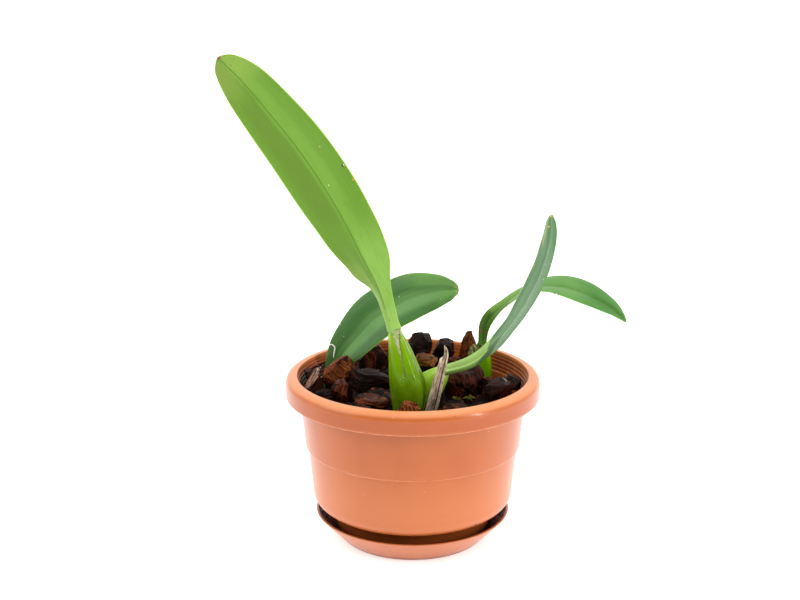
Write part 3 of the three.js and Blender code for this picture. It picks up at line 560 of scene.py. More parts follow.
def leaf_skin(look, spots):
    """Living leaf with a waxy skin: satin green above, matte and paler below, with fine parallel veins,
    a thin lighter rim, a midrib line, and bands of colour, each with its reach across and along; some
    bands are painted sheen, painted reflection and painted shade."""
    material, tree, surface = shader(
        look["name"], IOR=1.4, Specular_IOR_Level=0.25, Subsurface_Weight=0.08,
        Subsurface_Radius=(0.0008, 0.0016, 0.0004), Subsurface_Scale=1.0)
    flat = add(tree, "Attribute", attribute_name="flat").outputs["Vector"]
    across = add(tree, "Attribute", attribute_name="across").outputs["Fac"]
    reach, face, along = add(tree, "SeparateXYZ", {"Vector": flat}).outputs
    cloud = clouds(tree, flat, 4, stretch=(1, FACE_STRETCH, 4), detail=5.0)
    veins = clouds(tree, flat, 0.7, stretch=(1, FACE_STRETCH, 60))
    # The pores, far finer than 0.1 mm, are drawn 0.5 mm wide, so that they show
    pores = clouds(tree, flat, 0.5)
    colour = painted(tree, srgb(look["upper"]), srgb(look["under"]), face, 0.2, -0.2)
    slant = float(look["slant"])
    slanted = add(tree, "Math", {0: across, 1: slant, 2: along}, operation="MULTIPLY_ADD")
    drift = add(tree, "Math", {0: cloud, 1: BAND_DRIFT, 2: slanted}, operation="MULTIPLY_ADD")
    for tint, side, stretch, strength in look["bands"]:
        stretch = [place + BAND_DRIFT / 2 for place in stretch]
        cover = add(tree, "Math", {0: strip(tree, across, *side), 1: strip(tree, drift, *stretch)},
                    operation="MULTIPLY")
        colour = painted(tree, colour, srgb(tint), cover, strength=strength)
    colour = painted(tree, colour, srgb(look["deep"]), cloud, 0.48, 0.75, 0.3)
    colour = painted(tree, colour, srgb(look["deep"]), pores, 0.5, 0.7, 0.25)
    colour = painted(tree, colour, srgb(look["under"]), veins, 0.5, 0.68, 0.18)
    if look["rib"]:
        tint, width, strength = look["rib"]
        line = add(tree, "Math", {0: strip(tree, reach, -width, -width * 0.3, width * 0.3, width),
                                  1: strip(tree, along, *RIB_STRETCH)}, operation="MULTIPLY")
        colour = painted(tree, colour, srgb(tint), line, strength=strength)
    outward = add(tree, "Math", {0: across}, operation="ABSOLUTE")
    colour = painted(tree, colour, srgb(look["rim"]), outward, 0.95, 0.99, 0.8)
    on_plan = add(tree, "VectorMath", {0: flat, 1: (1, 0, 1)}, operation="MULTIPLY")
    shake = add(tree, "VectorMath", {0: pores.outputs["Color"], "Scale": 0.4}, operation="SCALE")
    shaken = add(tree, "VectorMath", {0: on_plan, 1: shake}, operation="ADD")
    shaken = add(tree, "VectorMath", {0: shaken, 1: (0.2, 0.2, 0.2)}, operation="SUBTRACT")
    colour = spotted(tree, colour, shaken, spots)
    rough = add(tree, "MapRange", {"Value": face, "From Min": 0.2, "From Max": -0.2,
                                   "To Min": look["shine"][0], "To Max": look["shine"][1]})
    feed(tree, surface, {"Base Color": colour, "Roughness": rough})
    height = add(tree, "Math", {0: pores, 1: 0.3, 2: veins}, operation="MULTIPLY_ADD")
    bumpy(tree, surface, height, 0.18, 0.6)
    return material


# Each pseudobulb's look: its tints at the foot, in the middle and at the neck, and its spots

BULB_LOOKS = {
    "front": {"name": "young_pseudobulb_skin", "low": "#4e6d04", "middle": "#668f02", "high": "#84a81c",
              "spots": [(425, 391.5, 0.6, "#7d6038"), (426.2, 394, 0.4, "#8d7048"),
                        (400.4, 379, 0.16, "#cfdaa8"), (403.6, 377.6, 0.18, "#d5dfb0"),
                        (402, 375.6, 0.13, "#c4d290"), (389.3, 319.3, 0.35, "#7d5a2e")]},
    "right": {"name": "side_pseudobulb_skin", "low": "#668c10", "middle": "#88b22c", "high": "#a8cc58",
              "spots": [(434, 369, 0.2, "#cfe08a"), (448.5, 366.5, 0.5, "#c9b98a")]},
    "back": {"name": "old_pseudobulb_skin", "low": "#5a8a00", "middle": "#689c02", "high": "#67930c",
             "spots": []},
    "left": {"name": "buried_pseudobulb_skin", "low": "#507c00", "middle": "#5c8c02", "high": "#5c8410",
             "spots": []},
}


def bulb_skin(look, spots):
    """Fleshy pseudobulb with a taut waxy skin: bright translucent green and glossy, deeper at the foot,
    yellower at the neck, with fine pale streaks along it and small scars."""
    material, tree, surface = shader(
        look["name"], Roughness=0.12, IOR=1.42, Specular_IOR_Level=0.15, Subsurface_Weight=0.12,
        Subsurface_Radius=(0.0015, 0.003, 0.0004), Subsurface_Scale=1.0)
    flat = add(tree, "Attribute", attribute_name="flat").outputs["Vector"]
    share = add(tree, "Attribute", attribute_name="across").outputs["Fac"]
    # The streaks of about 0.2 mm are drawn 0.45 mm wide, so that they show
    streak = clouds(tree, flat, 0.45, stretch=(1, 1, 16), detail=4.0)
    cloud = clouds(tree, flat, 5)
    drift = add(tree, "Math", {0: cloud, 1: 0.3, 2: share}, operation="MULTIPLY_ADD")
    colour = painted(tree, srgb(look["low"]), srgb(look["middle"]), drift, 0.5, 0.85)
    colour = painted(tree, colour, srgb(look["high"]), drift, 0.85, 1.12)
    colour = painted(tree, colour, srgb("#a3bd4a"), streak, 0.52, 0.74, 0.18)
    colour = spotted(tree, colour, place_on_object(tree), spots)
    feed(tree, surface, {"Base Color": colour})
    bumpy(tree, surface, streak, 0.08, 0.5)
    return material


# Reaches that lie off the sheath

NO_GROOVE = (2, 3, 4, 5)
NO_DAMP_AND_SHADE = (-2, -1)


def dry_tissue(name, tones, groove=NO_GROOVE, shadow="#2a211a", damp_and_shade_to=NO_DAMP_AND_SHADE):
    """Dead leaf sheath, papery and fibrous: tan ribs of fine parallel fibres, quite matte. It may have a
    band of painted shade along a groove, given by where it starts, is full, fades and ends across the
    sheath, and a foot darkened in the shadow colour, partly wet and partly painted shade, given by where
    that thins and ends along it."""
    material, tree, surface = shader(name, Roughness=0.78, IOR=1.45)
    flat = add(tree, "Attribute", attribute_name="flat").outputs["Vector"]
    across = add(tree, "Attribute", attribute_name="across").outputs["Fac"]
    # The fibres of about 0.15 mm are drawn 0.45 mm wide, so that they show
    fibre = clouds(tree, flat, 0.45, stretch=(1, 4, 16), detail=5.0)
    patch = clouds(tree, flat, 2.4, detail=4.0)
    mixed = add(tree, "Math", {0: patch, 1: 0.6, 2: fibre}, operation="MULTIPLY_ADD")
    colour = add(tree, "ValToRGB", {"Fac": mixed}, stops=[
        (place, srgb(tone)) for place, tone in zip((0.58, 0.74, 0.9), tones)])
    # Painted shade along the groove
    colour = painted(tree, colour, srgb(shadow), strip(tree, across, *groove), strength=0.9)
    along = add(tree, "SeparateXYZ", {"Vector": flat}).outputs["Z"]
    damp_and_shade = add(tree, "Math", {0: patch, 1: 6.0, 2: along}, operation="MULTIPLY_ADD")
    thins, ends = damp_and_shade_to
    # The foot darkened in the shadow colour: partly wet and partly painted shade
    colour = painted(tree, colour, srgb(shadow), damp_and_shade, ends, thins, 0.6)
    feed(tree, surface, {"Base Color": colour})
    bumpy(tree, surface, fibre, 0.4, 0.8)
    return material


def plain_skin(name, first, second, roughness, width):
    """A small natural thing in two mingled colours, such as a root, a moss leaf or a mineral grain."""
    material, tree, surface = shader(name, Roughness=roughness, IOR=1.45)
    patch = clouds(tree, place_on_object(tree), width)
    colour = painted(tree, srgb(first), srgb(second), patch, 0.4, 0.6)
    feed(tree, surface, {"Base Color": colour})
    bumpy(tree, surface, patch, 0.3, 0.5)
    return material


# The photograph's view

EYE = Vector((-6.51, -650, 297.3)) * MM
PITCH = math.radians(14.84)
LENS = 59.99
SENSOR = 36
PHOTO_SIZE = (800, 600)
FOCUS = LENS / SENSOR * PHOTO_SIZE[0]


def under_pixel(x, y, carrier):
    """Where a pixel of the photograph falls on a carrier: the place, its facing and the face's number."""
    ahead = Vector((0, math.cos(PITCH), -math.sin(PITCH)))
    up = Vector((0, math.sin(PITCH), math.cos(PITCH)))
    right = Vector((1, 0, 0))
    sight = ahead + right * ((x - PHOTO_SIZE[0] / 2) / FOCUS) + up * ((PHOTO_SIZE[1] / 2 - y) / FOCUS)
    place, facing, number, _ = carrier.ray_cast(EYE, sight.normalized())
    return place, facing, number


def spots_on(carrier, spots):
    """Spots given by pixels of the photograph, as places on a carrier in millimetres."""
    found = [(under_pixel(x, y, carrier)[0], radius, tint) for x, y, radius, tint in spots]
    return [(place / MM, radius, tint) for place, radius, tint in found if place]


# Shape helpers

def linked(bm, name):
    """The mesh as an object in the scene."""
    mesh = bpy.data.meshes.new(name)
    bm.to_mesh(mesh)
    bm.free()
    piece = bpy.data.objects.new(name, mesh)
    bpy.context.scene.collection.objects.link(piece)
    return piece


def finished(bm, name, materials, stands_for=()):
    """The mesh as a smooth piece that rides on the object's one body."""
    piece = linked(bm, name)
    for material in materials:
        piece.data.materials.append(material)
    piece.data.shade_smooth()
    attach(piece, "root")
    if stands_for:
        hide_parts(*stands_for)
    return piece


def through(stations, t):
    """The place at t, from 0 to 1, on the smooth curve through evenly counted stations."""
    spans = len(stations) - 1
    place = min(max(t, 0.0), 1.0) * spans
    k = min(int(place), spans - 1)
    w = place - k
    here, there = stations[k], stations[k + 1]
    before = stations[k - 1] if k > 0 else 2 * here - there
    after = stations[k + 2] if k + 2 <= spans else 2 * there - here
    slope_here, slope_there = (there - before) / 2, (after - here) / 2
    square = 3 * (there - here) - 2 * slope_here - slope_there
    cube = 2 * (here - there) + slope_here + slope_there
    return here + w * slope_here + w * w * square + w * w * w * cube


def heading(stations, t):
    """The direction of that curve at t."""
    step = 1e-4
    return (through(stations, min(t + step, 1)) - through(stations, max(t - step, 0))).normalized()


def away_from(stations, t, angle):
    """The direction away from that curve at t, at an angle round it that is level at 0."""
    along = heading(stations, t)
    across = Vector((0, 1, 0)).cross(along).normalized()
    return across * math.cos(angle) + along.cross(across) * math.sin(angle)


def arc_lengths(stations, steps=200):
    """How far along the curve each of its evenly counted steps lies."""
    lengths = [0.0]
    last = through(stations, 0)
    for step in range(1, steps + 1):
        point = through(stations, step / steps)
        lengths.append(lengths[-1] + (point - last).length)
        last = point
    return lengths


# How much of a side one fillet may take
FILLET_SHARE = 0.75


def rounded(corners, steps=5):
    """A closed outline of (radius, z, fillet) corners as points, each fillet a short curve."""
    points = []
    for k, (r, z, fillet) in enumerate(corners):
        corner = Vector((r, z))
        if not fillet:
            points.append(corner)
            continue
        before = Vector(corners[k - 1][:2]) - corner
        after = Vector(corners[(k + 1) % len(corners)][:2]) - corner
        start = corner + before.normalized() * min(fillet, before.length * FILLET_SHARE)
        end = corner + after.normalized() * min(fillet, after.length * FILLET_SHARE)
        for step in range(steps + 1):
            w = step / steps
            points.append((1 - w) ** 2 * start + 2 * w * (1 - w) * corner + w * w * end)
    return points


def spun(outline, closed):
    """Turns an outline of (radius, z) points round the upright axis."""
    bm = bmesh.new()
    verts = [bm.verts.new((r * MM, 0, z * MM)) for r, z in outline]
    edges = [bm.edges.new(pair) for pair in zip(verts, verts[1:])]
    if closed:
        edges.append(bm.edges.new((verts[-1], verts[0])))
    bmesh.ops.spin(bm, geom=verts + edges, cent=(0, 0, 0), axis=(0, 0, 1), dvec=(0, 0, 0),
                   angle=math.tau, steps=TURN_STEPS, use_merge=True, use_duplicate=False)
    bmesh.ops.remove_doubles(bm, verts=bm.verts, dist=1e-6)
    bmesh.ops.recalc_face_normals(bm, faces=bm.faces)
    return bm


def lofted(around, along, place):
    """A closed tube: a flat grid bent round by place(a, t), which gives the point, its place on the
    unbent shape and how far it lies across."""
    bm = bmesh.new()
    bmesh.ops.create_grid(bm, x_segments=around, y_segments=along, size=1.0)
    flat = bm.verts.layers.float_vector.new("flat")
    across = bm.verts.layers.float.new("across")
    for vert in bm.verts:
        point, straight, side = place((vert.co.x + 1) / 2, (vert.co.y + 1) / 2)
        vert[flat] = straight
        vert[across] = side
        vert.co = point * MM
    bmesh.ops.remove_doubles(bm, verts=bm.verts, dist=1e-6)
    bmesh.ops.holes_fill(bm, edges=[e for e in bm.edges if e.is_boundary], sides=0)
    bmesh.ops.recalc_face_normals(bm, faces=bm.faces)
    return bm


def joined(parts):
    """Several meshes as one."""
    whole = bmesh.new()
    for part in parts:
        mesh = bpy.data.meshes.new("part")
        part.to_mesh(mesh)
        part.free()
        whole.from_mesh(mesh)
        bpy.data.meshes.remove(mesh)
    return whole


# Pot and saucer

# Knocks in the collar: each one's direction in degrees, height, spread and push

COLLAR_KNOCKS = [(-94, 80.6, 1.1, -0.3), (-63.5, 81, 1.5, -0.3), (-72, 79.4, 2, 0.16),
                 (-101, 79, 2.4, -0.15)]
COLLAR_ROWS = (81.4, 80.5, 79.5, 78.5, 77.5)
BORE_LENGTH = 6


def pot_outline():
    """The pot's wall in section: collar, outer wall down to the foot, then up the inside."""
    skirt = RIM_RADIUS - COLLAR_WALL
    foot_turn = []
    for step in range(10):
        turn = math.radians(10 * step)
        radius = LOWER_WALL_FOOT_R + 0.1 - FOOT_TURN + FOOT_TURN * math.cos(turn)
        foot_turn.append((radius, FOOT_TURN_Z + FOOT_TURN * (1 - math.sin(turn)), 0))
    corners = [
        (LIP_RADIUS, RIM_TOP_Z, 0.5),
        (LIP_RADIUS + 2, RIM_TOP_Z - 0.1, 0.6),
        (RIM_RADIUS - 0.1, RIM_TOP_Z - 0.9, COLLAR_CORNER),
        *[(RIM_RADIUS, z, 0) for z in COLLAR_ROWS],
        (RIM_RADIUS, COLLAR_BOTTOM_Z, 0.7),
        (skirt, COLLAR_BOTTOM_Z, 0.5),
        (skirt, RIM_TOP_Z - 3, 1),
        (LIP_RADIUS + 1.7, RIM_TOP_Z - 2, 0.6),
        (UPPER_WALL_TOP_R, COLLAR_BOTTOM_Z, 0.6),
        (UPPER_WALL_FOOT_R, STEP_Z + 0.3, 0.4),
        (LOWER_WALL_TOP_R, STEP_Z - 0.9, 0.4),
        *foot_turn,
        (CUP_TOP_R, FOOT_TURN_Z, 0.4),
        (CUP_TOP_R - 1.6, 8, 3),
        (CUP_TOP_R - 3.9, 4, 2),
        (CUP_FOOT_R + 1.5, POT_BOTTOM_Z, 0.8),
        (0, POT_BOTTOM_Z, 0),
        (0, POT_BOTTOM_Z + WALL, 0),
        (CUP_FOOT_R - 0.2, POT_BOTTOM_Z + WALL, 1),
        (CUP_TOP_R - 2.6, 9.6, 3),
        (CUP_TOP_R - WALL, TRAY_Z + WALL, 0.5),
        (LOWER_WALL_FOOT_R - WALL, TRAY_Z + WALL, 4.5),
        (LOWER_WALL_TOP_R - WALL, STEP_Z - 1.2, 0.4),
        (UPPER_WALL_FOOT_R - WALL, STEP_Z + 0.4, 0.4),
    ]
    z = COLLAR_BOTTOM_Z + 0.5
    corners.append((UPPER_WALL_TOP_R - WALL, z, 0.1))
    for step in range(INNER_STEPS):
        radius = UPPER_WALL_TOP_R - WALL + INNER_STEP_RUN * (step + 1)
        corners.append((radius, z, 0.12))
        z += INNER_STEP_RISE
        if step < INNER_STEPS - 1:
            corners.append((radius, z, 0.12))
    return rounded(corners)


def knock_collar(bm):
    """Pushes small knocks into the collar, in or out by fractions of a millimetre."""
    for vert in bm.verts:
        x, y, z = vert.co / MM
        if math.hypot(x, y) < RIM_RADIUS - 0.5:
            continue
        for degrees, height, spread, depth in COLLAR_KNOCKS:
            along = (math.atan2(y, x) - math.radians(degrees)) * RIM_RADIUS
            push = depth * math.exp(-(along ** 2 + (z - height) ** 2) / spread ** 2)
            vert.co.x *= 1 + push / RIM_RADIUS
            vert.co.y *= 1 + push / RIM_RADIUS


def drain_bores():
    """The bores of the drain holes, as one cutter."""
    bm = bmesh.new()
    turns = [math.tau * hole / DRAIN_COUNT for hole in range(DRAIN_COUNT)]
    places = [(0.0, 0.0)] + [(DRAIN_CIRCLE_R * math.cos(a), DRAIN_CIRCLE_R * math.sin(a)) for a in turns]
    for x, y in places:
        spot = Matrix.Translation(Vector((x, y, POT_BOTTOM_Z + WALL / 2)) * MM)
        bmesh.ops.create_cone(bm, cap_ends=True, segments=32, radius1=DRAIN_RADIUS * MM,
                              radius2=DRAIN_RADIUS * MM, depth=BORE_LENGTH * MM, matrix=spot)
    return linked(bm, "drain_bores")


def as_evaluated(piece):
    """The piece's mesh with its modifiers applied."""
    depsgraph = bpy.context.evaluated_depsgraph_get()
    return bpy.data.meshes.new_from_object(piece.evaluated_get(depsgraph))


def make_pot():
    bm = spun(pot_outline(), closed=True)
    knock_collar(bm)
    specks = spots_on(BVHTree.FromBMesh(bm), SPECKS)
    plastic = pot_plastic("moulded_polypropylene_used", POT_DAMP_AND_SHADE, specks)
    pot = finished(bm, "pot_shell", [plastic], ["pot"])
    cutter = drain_bores()
    cut = pot.modifiers.new("drain holes", "BOOLEAN")
    cut.operation = "DIFFERENCE"
    cut.solver = "EXACT"
    cut.object = cutter
    drilled = as_evaluated(pot)
    pot.modifiers.clear()
    pot.data = drilled
    bpy.data.objects.remove(cutter)


def make_saucer(plastic, stain):
    slope = (SAUCER_LIP_R - SAUCER_FOOT_R) / SAUCER_HEIGHT
    bm = spun(rounded([
        (0, 0, 0),
        (SAUCER_FOOT_R, 0, 0.7),
        (SAUCER_LIP_R, SAUCER_HEIGHT, 0.5),
        (SAUCER_LIP_R - SAUCER_WALL, SAUCER_HEIGHT, 0.5),
        (SAUCER_FOOT_R + slope * SAUCER_FLOOR - SAUCER_WALL, SAUCER_FLOOR, 1.5),
        (0, SAUCER_FLOOR, 0),
    ]), closed=False)
    for face in bm.faces:
        x, y, z = face.calc_center_median() / MM
        outside = SAUCER_FOOT_R + slope * z
        if z > SAUCER_FLOOR - 0.2 and math.hypot(x, y) < outside - SAUCER_WALL * 0.75:
            face.material_index = 1
    finished(bm, "saucer_dish", [plastic, stain], ["saucer"])


# Bark

CHIP_VOXEL = 0.4
BED_VOXEL = 0.8
SPLIT_FACES = 16
SPLIT_DEPTH = 1.5
GRAIN_SHIFT = Vector((31.7, 12.9, 5.3))
CREVICE_SHARE = 0.14
LEDGE_SHARE = 0.08
FACET_SIZE = 7.5
MEAN_RELIEF = 0.15
CRUMBS = 90
CRUMB_REACH = 53
CRUMB_SIZES = (1.2, 4.2)
CRUMB_TONE = 0.55
DROP_FROM_Z = 110
LEVEL_ENOUGH = 0.35


def layers_lie(turn):
    """The turn of a chip's layers as a rotation from the object's axes to the grain's."""
    x, y, z = (math.radians(angle) for angle in turn)
    lie = Matrix.Rotation(x, 3, "X") @ Matrix.Rotation(y, 3, "Y") @ Matrix.Rotation(z, 3, "Z")
    return lie.transposed()


def fine_skin(node, voxel):
    """A node's form as an even, fine skin, as a bmesh."""
    bm = bmesh.new()
    bm.from_mesh(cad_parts[node].data)
    bmesh.ops.remove_doubles(bm, verts=bm.verts, dist=1e-6)
    carrier = linked(bm, "carrier")
    skin = carrier.modifiers.new("skin", "REMESH")
    skin.mode = "VOXEL"
    skin.voxel_size = voxel * MM
    ease = carrier.modifiers.new("ease", "SMOOTH")
    ease.factor = 0.5
    ease.iterations = 1
    fine = as_evaluated(carrier)
    bpy.data.objects.remove(carrier)
    bm = bmesh.new()
    bm.from_mesh(fine)
    bpy.data.meshes.remove(fine)
    return bm


def facet(place, size):
    """How far a place stands out on the slanting facets, about size across, that bark breaks into."""
    _, centres = noise.voronoi(place / size)
    tilt = noise.cell_vector(centres[0] * 7.3)
    return (place / size - centres[0]).dot(tilt)


def split_off(bm, draw, count, cut):
    """Splits flat faces, up to cut millimetres deep, off a chip's skin and gives each its own tone."""
    tone = bm.verts.layers.float.new("layer")
    for _ in range(count):
        facing = Vector((draw.gauss(0, 1), draw.gauss(0, 1), draw.gauss(0, 1))).normalized()
        face = max(vert.co.dot(facing) for vert in bm.verts) - draw.uniform(0.3, 1) * cut * MM
        own = draw.uniform(-1, 1)
        for vert in bm.verts:
            over = vert.co.dot(facing) - face
            if over > 0:
                vert.co -= facing * over
                vert[tone] = own


def break_up(bm, lie, offset, layer_height, depth, rough=1.0):
    """Splits a skin into stacked layers with ragged ledges, crevices and lengthwise fibres, and keeps
    what the bark's colour reads."""
    grain = bm.verts.layers.float_vector.new("grain")
    relief = bm.verts.layers.float.new("relief")
    broken = bm.verts.layers.float.new("broken")
    layer = bm.verts.layers.float.get("layer") or bm.verts.layers.float.new("layer")
    bm.normal_update()
    moves = []
    for vert in bm.verts:
        place = lie @ (vert.co / MM) + offset
        edge_on = 1 - abs((lie @ vert.normal).z)
        warp = 1.5 * noise.noise(place * 0.1) + 0.4 * noise.noise(place * 0.35)
        height = place.z / layer_height + warp
        index = math.floor(height)
        tone = noise.cell(Vector((index + 0.5, offset.x, 0.5)))
        to_seam = min(height - index, index + 1 - height)
        crevice = -max(0.0, 1 - to_seam / CREVICE_SHARE)
        ledge = tone * min(1.0, to_seam / LEDGE_SHARE)
        fibre = 1 - 2.6 * abs(noise.noise(Vector((place.x * 0.07, place.y * 0.75, place.z * 0.75))))
        slant = facet(place, FACET_SIZE)
        pit = min(0.0, noise.noise(place * 0.3) + 0.2)
        grit = noise.noise(place * 1.6)
        stand = edge_on * (0.2 * ledge + 0.35 * crevice) + (0.05 + 0.14 * edge_on) * fibre
        stand += rough * (1.3 * slant + 0.8 * pit) + 0.05 * grit
        vert[grain] = place
        vert[relief] = 0.5 + 0.5 * stand
        vert[broken] = edge_on
        vert[layer] += 0.5 * tone
        moves.append((vert, vert.normal * ((stand - MEAN_RELIEF) * depth * MM)))
    for vert, move in moves:
        vert.co += move


def make_chips(barks):
    for count, (name, (turn, kind)) in enumerate(CHIPS.items()):
        node = f"bark_chip_{name}"
        bm = fine_skin(node, CHIP_VOXEL)
        split_off(bm, random.Random(SEED + 10 + count), SPLIT_FACES, SPLIT_DEPTH)
        break_up(bm, layers_lie(turn), GRAIN_SHIFT * (count + 1), layer_height=1.7, depth=1.1, rough=0.35)
        finished(bm, f"{node}_broken", [barks[kind]], [node])


def make_bed(barks):
    bm = fine_skin("bark_bed", BED_VOXEL)
    break_up(bm, layers_lie((18, 12, 0)), Vector((5, 3, 1)), layer_height=2.4, depth=1.2)
    finished(bm, "bark_bed_broken", [barks["dark"]], ["bark_bed"])


def crumb(draw, place, size):
    """One crumb of bark or grit."""
    bm = bmesh.new()
    bmesh.ops.create_icosphere(bm, subdivisions=2, radius=0.5 * MM)
    shape = Matrix.Diagonal((size, size * draw.uniform(0.5, 0.8), size * draw.uniform(0.3, 0.6), 1))
    turn = Matrix.Rotation(draw.uniform(0, math.tau), 4, "Z")
    lean = Matrix.Rotation(draw.uniform(-0.6, 0.6), 4, "X")
    bmesh.ops.transform(bm, matrix=Matrix.Translation(place) @ turn @ lean @ shape, verts=bm.verts)
    seed = Vector((draw.uniform(0, 90), 0, 0))
    for vert in bm.verts:
        push = noise.noise(vert.co / MM * 0.9 + seed) * 0.35
        vert.co += (vert.co - place) * push
    return bm


def carrier_of(names):
    """What the camera's lines and falling crumbs meet: the named pieces as one tree."""
    whole = bmesh.new()
    for name in names:
        whole.from_mesh(bpy.data.objects[name].data)
    tree = BVHTree.FromBMesh(whole)
    whole.free()
    return tree


def strew_crumbs(heap, barks):
    """Crumbs and short splinters that lie on the bark."""
    draw = random.Random(SEED)
    crumbs = []
    while len(crumbs) < CRUMBS:
        turn, reach = draw.uniform(0, math.tau), CRUMB_REACH * math.sqrt(draw.random())
        start = Vector((reach * math.cos(turn), reach * math.sin(turn), DROP_FROM_Z)) * MM
        place, facing, _, _ = heap.ray_cast(start, Vector((0, 0, -1)))
        if not place or facing.z < LEVEL_ENOUGH:
            continue
        crumbs.append(crumb(draw, place, draw.uniform(*CRUMB_SIZES)))
    bm = joined(crumbs)
    for name in ("grain", "relief", "broken", "layer"):
        kind = bm.verts.layers.float_vector if name == "grain" else bm.verts.layers.float
        made = kind.new(name)
        for vert in bm.verts:
            vert[made] = vert.co / MM if name == "grain" else CRUMB_TONE
    finished(bm, "bark_crumbs", [barks["red"]])


# Moss, grains and the water mark, at the pixels of the photograph where they show; moss and grains with
# their size

MOSS = [(455, 397.5, 1.6), (459, 398.5, 1.3), (467, 397, 2.2), (471, 398, 1.6), (431.5, 356.5, 1.1),
        (475, 347, 1.8), (479, 350, 1.4)]
GRAINS = [(320, 367.6, 1.5), (318.9, 370, 1), (316.6, 362.8, 0.9), (321.2, 377, 0.9),
          (317.5, 365.6, 0.7), (504.6, 379.4, 1.2), (506, 381, 0.9), (503, 378.4, 0.8),
          (399.8, 402.6, 0.5), (513, 388.6, 0.5)]
WATER_MARK = [(326, 358), (326.9, 352), (329.2, 346), (331.2, 344.6), (333.6, 345.8), (334.9, 348.6),
              (334, 353.4), (333.5, 358.5)]
MOSS_LEAVES = 22
WATER_MARK_RADIUS = 0.36


def make_moss(heap, material):
    """Tufts of moss: a few dozen tiny pointed leaves each."""
    draw = random.Random(SEED + 1)
    leaves = []
    for x, y, size in MOSS:
        place, facing, _ = under_pixel(x, y, heap)
        if not place:
            continue
        for _ in range(MOSS_LEAVES):
            off = Vector((draw.gauss(0, 0.4), draw.gauss(0, 0.4), draw.gauss(0, 0.3))) * size * MM
            sway = Vector((draw.gauss(0, 0.6), draw.gauss(0, 0.6), draw.uniform(0, 0.8)))
            lean = (facing + sway).normalized()
            bm = bmesh.new()
            length = draw.uniform(0.5, 1.0) * size
            bmesh.ops.create_cone(bm, cap_ends=True, segments=5, radius1=0.2 * size * MM,
                                  radius2=0.03 * MM, depth=length * MM)
            stand = lean.to_track_quat("Z", "Y").to_matrix().to_4x4()
            spot = Matrix.Translation(place + off + lean * length * 0.35 * MM)
            bmesh.ops.transform(bm, matrix=spot @ stand, verts=bm.verts)
            leaves.append(bm)
    finished(joined(leaves), "moss_tufts", [material])


def make_grains(heap, material):
    """Pale grains of perlite and lime."""
    draw = random.Random(SEED + 2)
    grains = []
    for x, y, size in GRAINS:
        place, _, _ = under_pixel(x, y, heap)
        if place:
            grains.append(crumb(draw, place, size))
    finished(joined(grains), "pale_grains", [material])


def make_water_mark(leaf, material):
    """The raised outline of lime that a dried drop left on the left leaf."""
    spots = [under_pixel(x, y, leaf) for x, y in WATER_MARK]
    spine = [(place + facing * 0.05 * MM) / MM for place, facing, _ in spots if place]

    def place(a, t):
        radius = WATER_MARK_RADIUS * (1 + 0.4 * noise.noise(Vector((0, 0, 30 * t))))
        radius *= math.sqrt(max(1e-4, 1 - (2 * t - 1) ** 8))
        return through(spine, t) + away_from(spine, t, math.tau * a) * radius, Vector((0, 0, t)), 0.0

    finished(lofted(around=10, along=60, place=place), "dried_water_mark", [material])


# Plant

# The share of a pseudobulb's length at which its neck starts to close
DOME_FROM = 0.955


def make_bulb(name, sides, rows):
    stations = BULBS[name]
    axis = [Vector(s[:3]) for s in stations]
    girth = [Vector((s[3], 0, 0)) for s in stations]
    lengths = arc_lengths(axis)

    def place(a, t):
        angle = math.tau * a
        radius = through(girth, t).x
        if t > DOME_FROM:
            radius *= math.sqrt(max(0.0, 1 - ((t - DOME_FROM) / (1 - DOME_FROM)) ** 2))
        swell = 1 + RIDGE_DEPTH * math.cos(BULB_RIDGES * (angle - RIDGE_SPIN))
        swell += 0.016 * noise.noise(Vector((1.6 * math.cos(angle), 1.6 * math.sin(angle), 5 * t)))
        length = lengths[round(t * (len(lengths) - 1))]
        straight = Vector((radius * math.cos(angle), radius * math.sin(angle), length))
        return through(axis, t) + away_from(axis, t, angle) * (radius * swell), straight, t

    bm = lofted(sides, rows, place)
    look = BULB_LOOKS[name]
    skin = bulb_skin(look, spots_on(BVHTree.FromBMesh(bm), look["spots"]))
    finished(bm, f"pseudobulb_{name}_skin", [skin], [f"pseudobulb_{name}"])


# A blade in section: how its columns crowd at midrib and edges, how blunt its edges are, how its crease is
# eased, the channel above its midrib and the keel below it, and how high each half arches

CROWDING = 0.72
BLUNTNESS = 22
CREASE_EASE = 0.02
CREASE_REST = 0.141
RIB_SPREAD = 0.6
CHANNEL_DEPTH = 0.2
KEEL_HEIGHT = 0.32
HALF_ARCH = 0.07

# The thickness from which a stalk turns fleshy, and over how much more it becomes so

FLESH_FROM = 1.7
FLESH_SPAN = 0.9


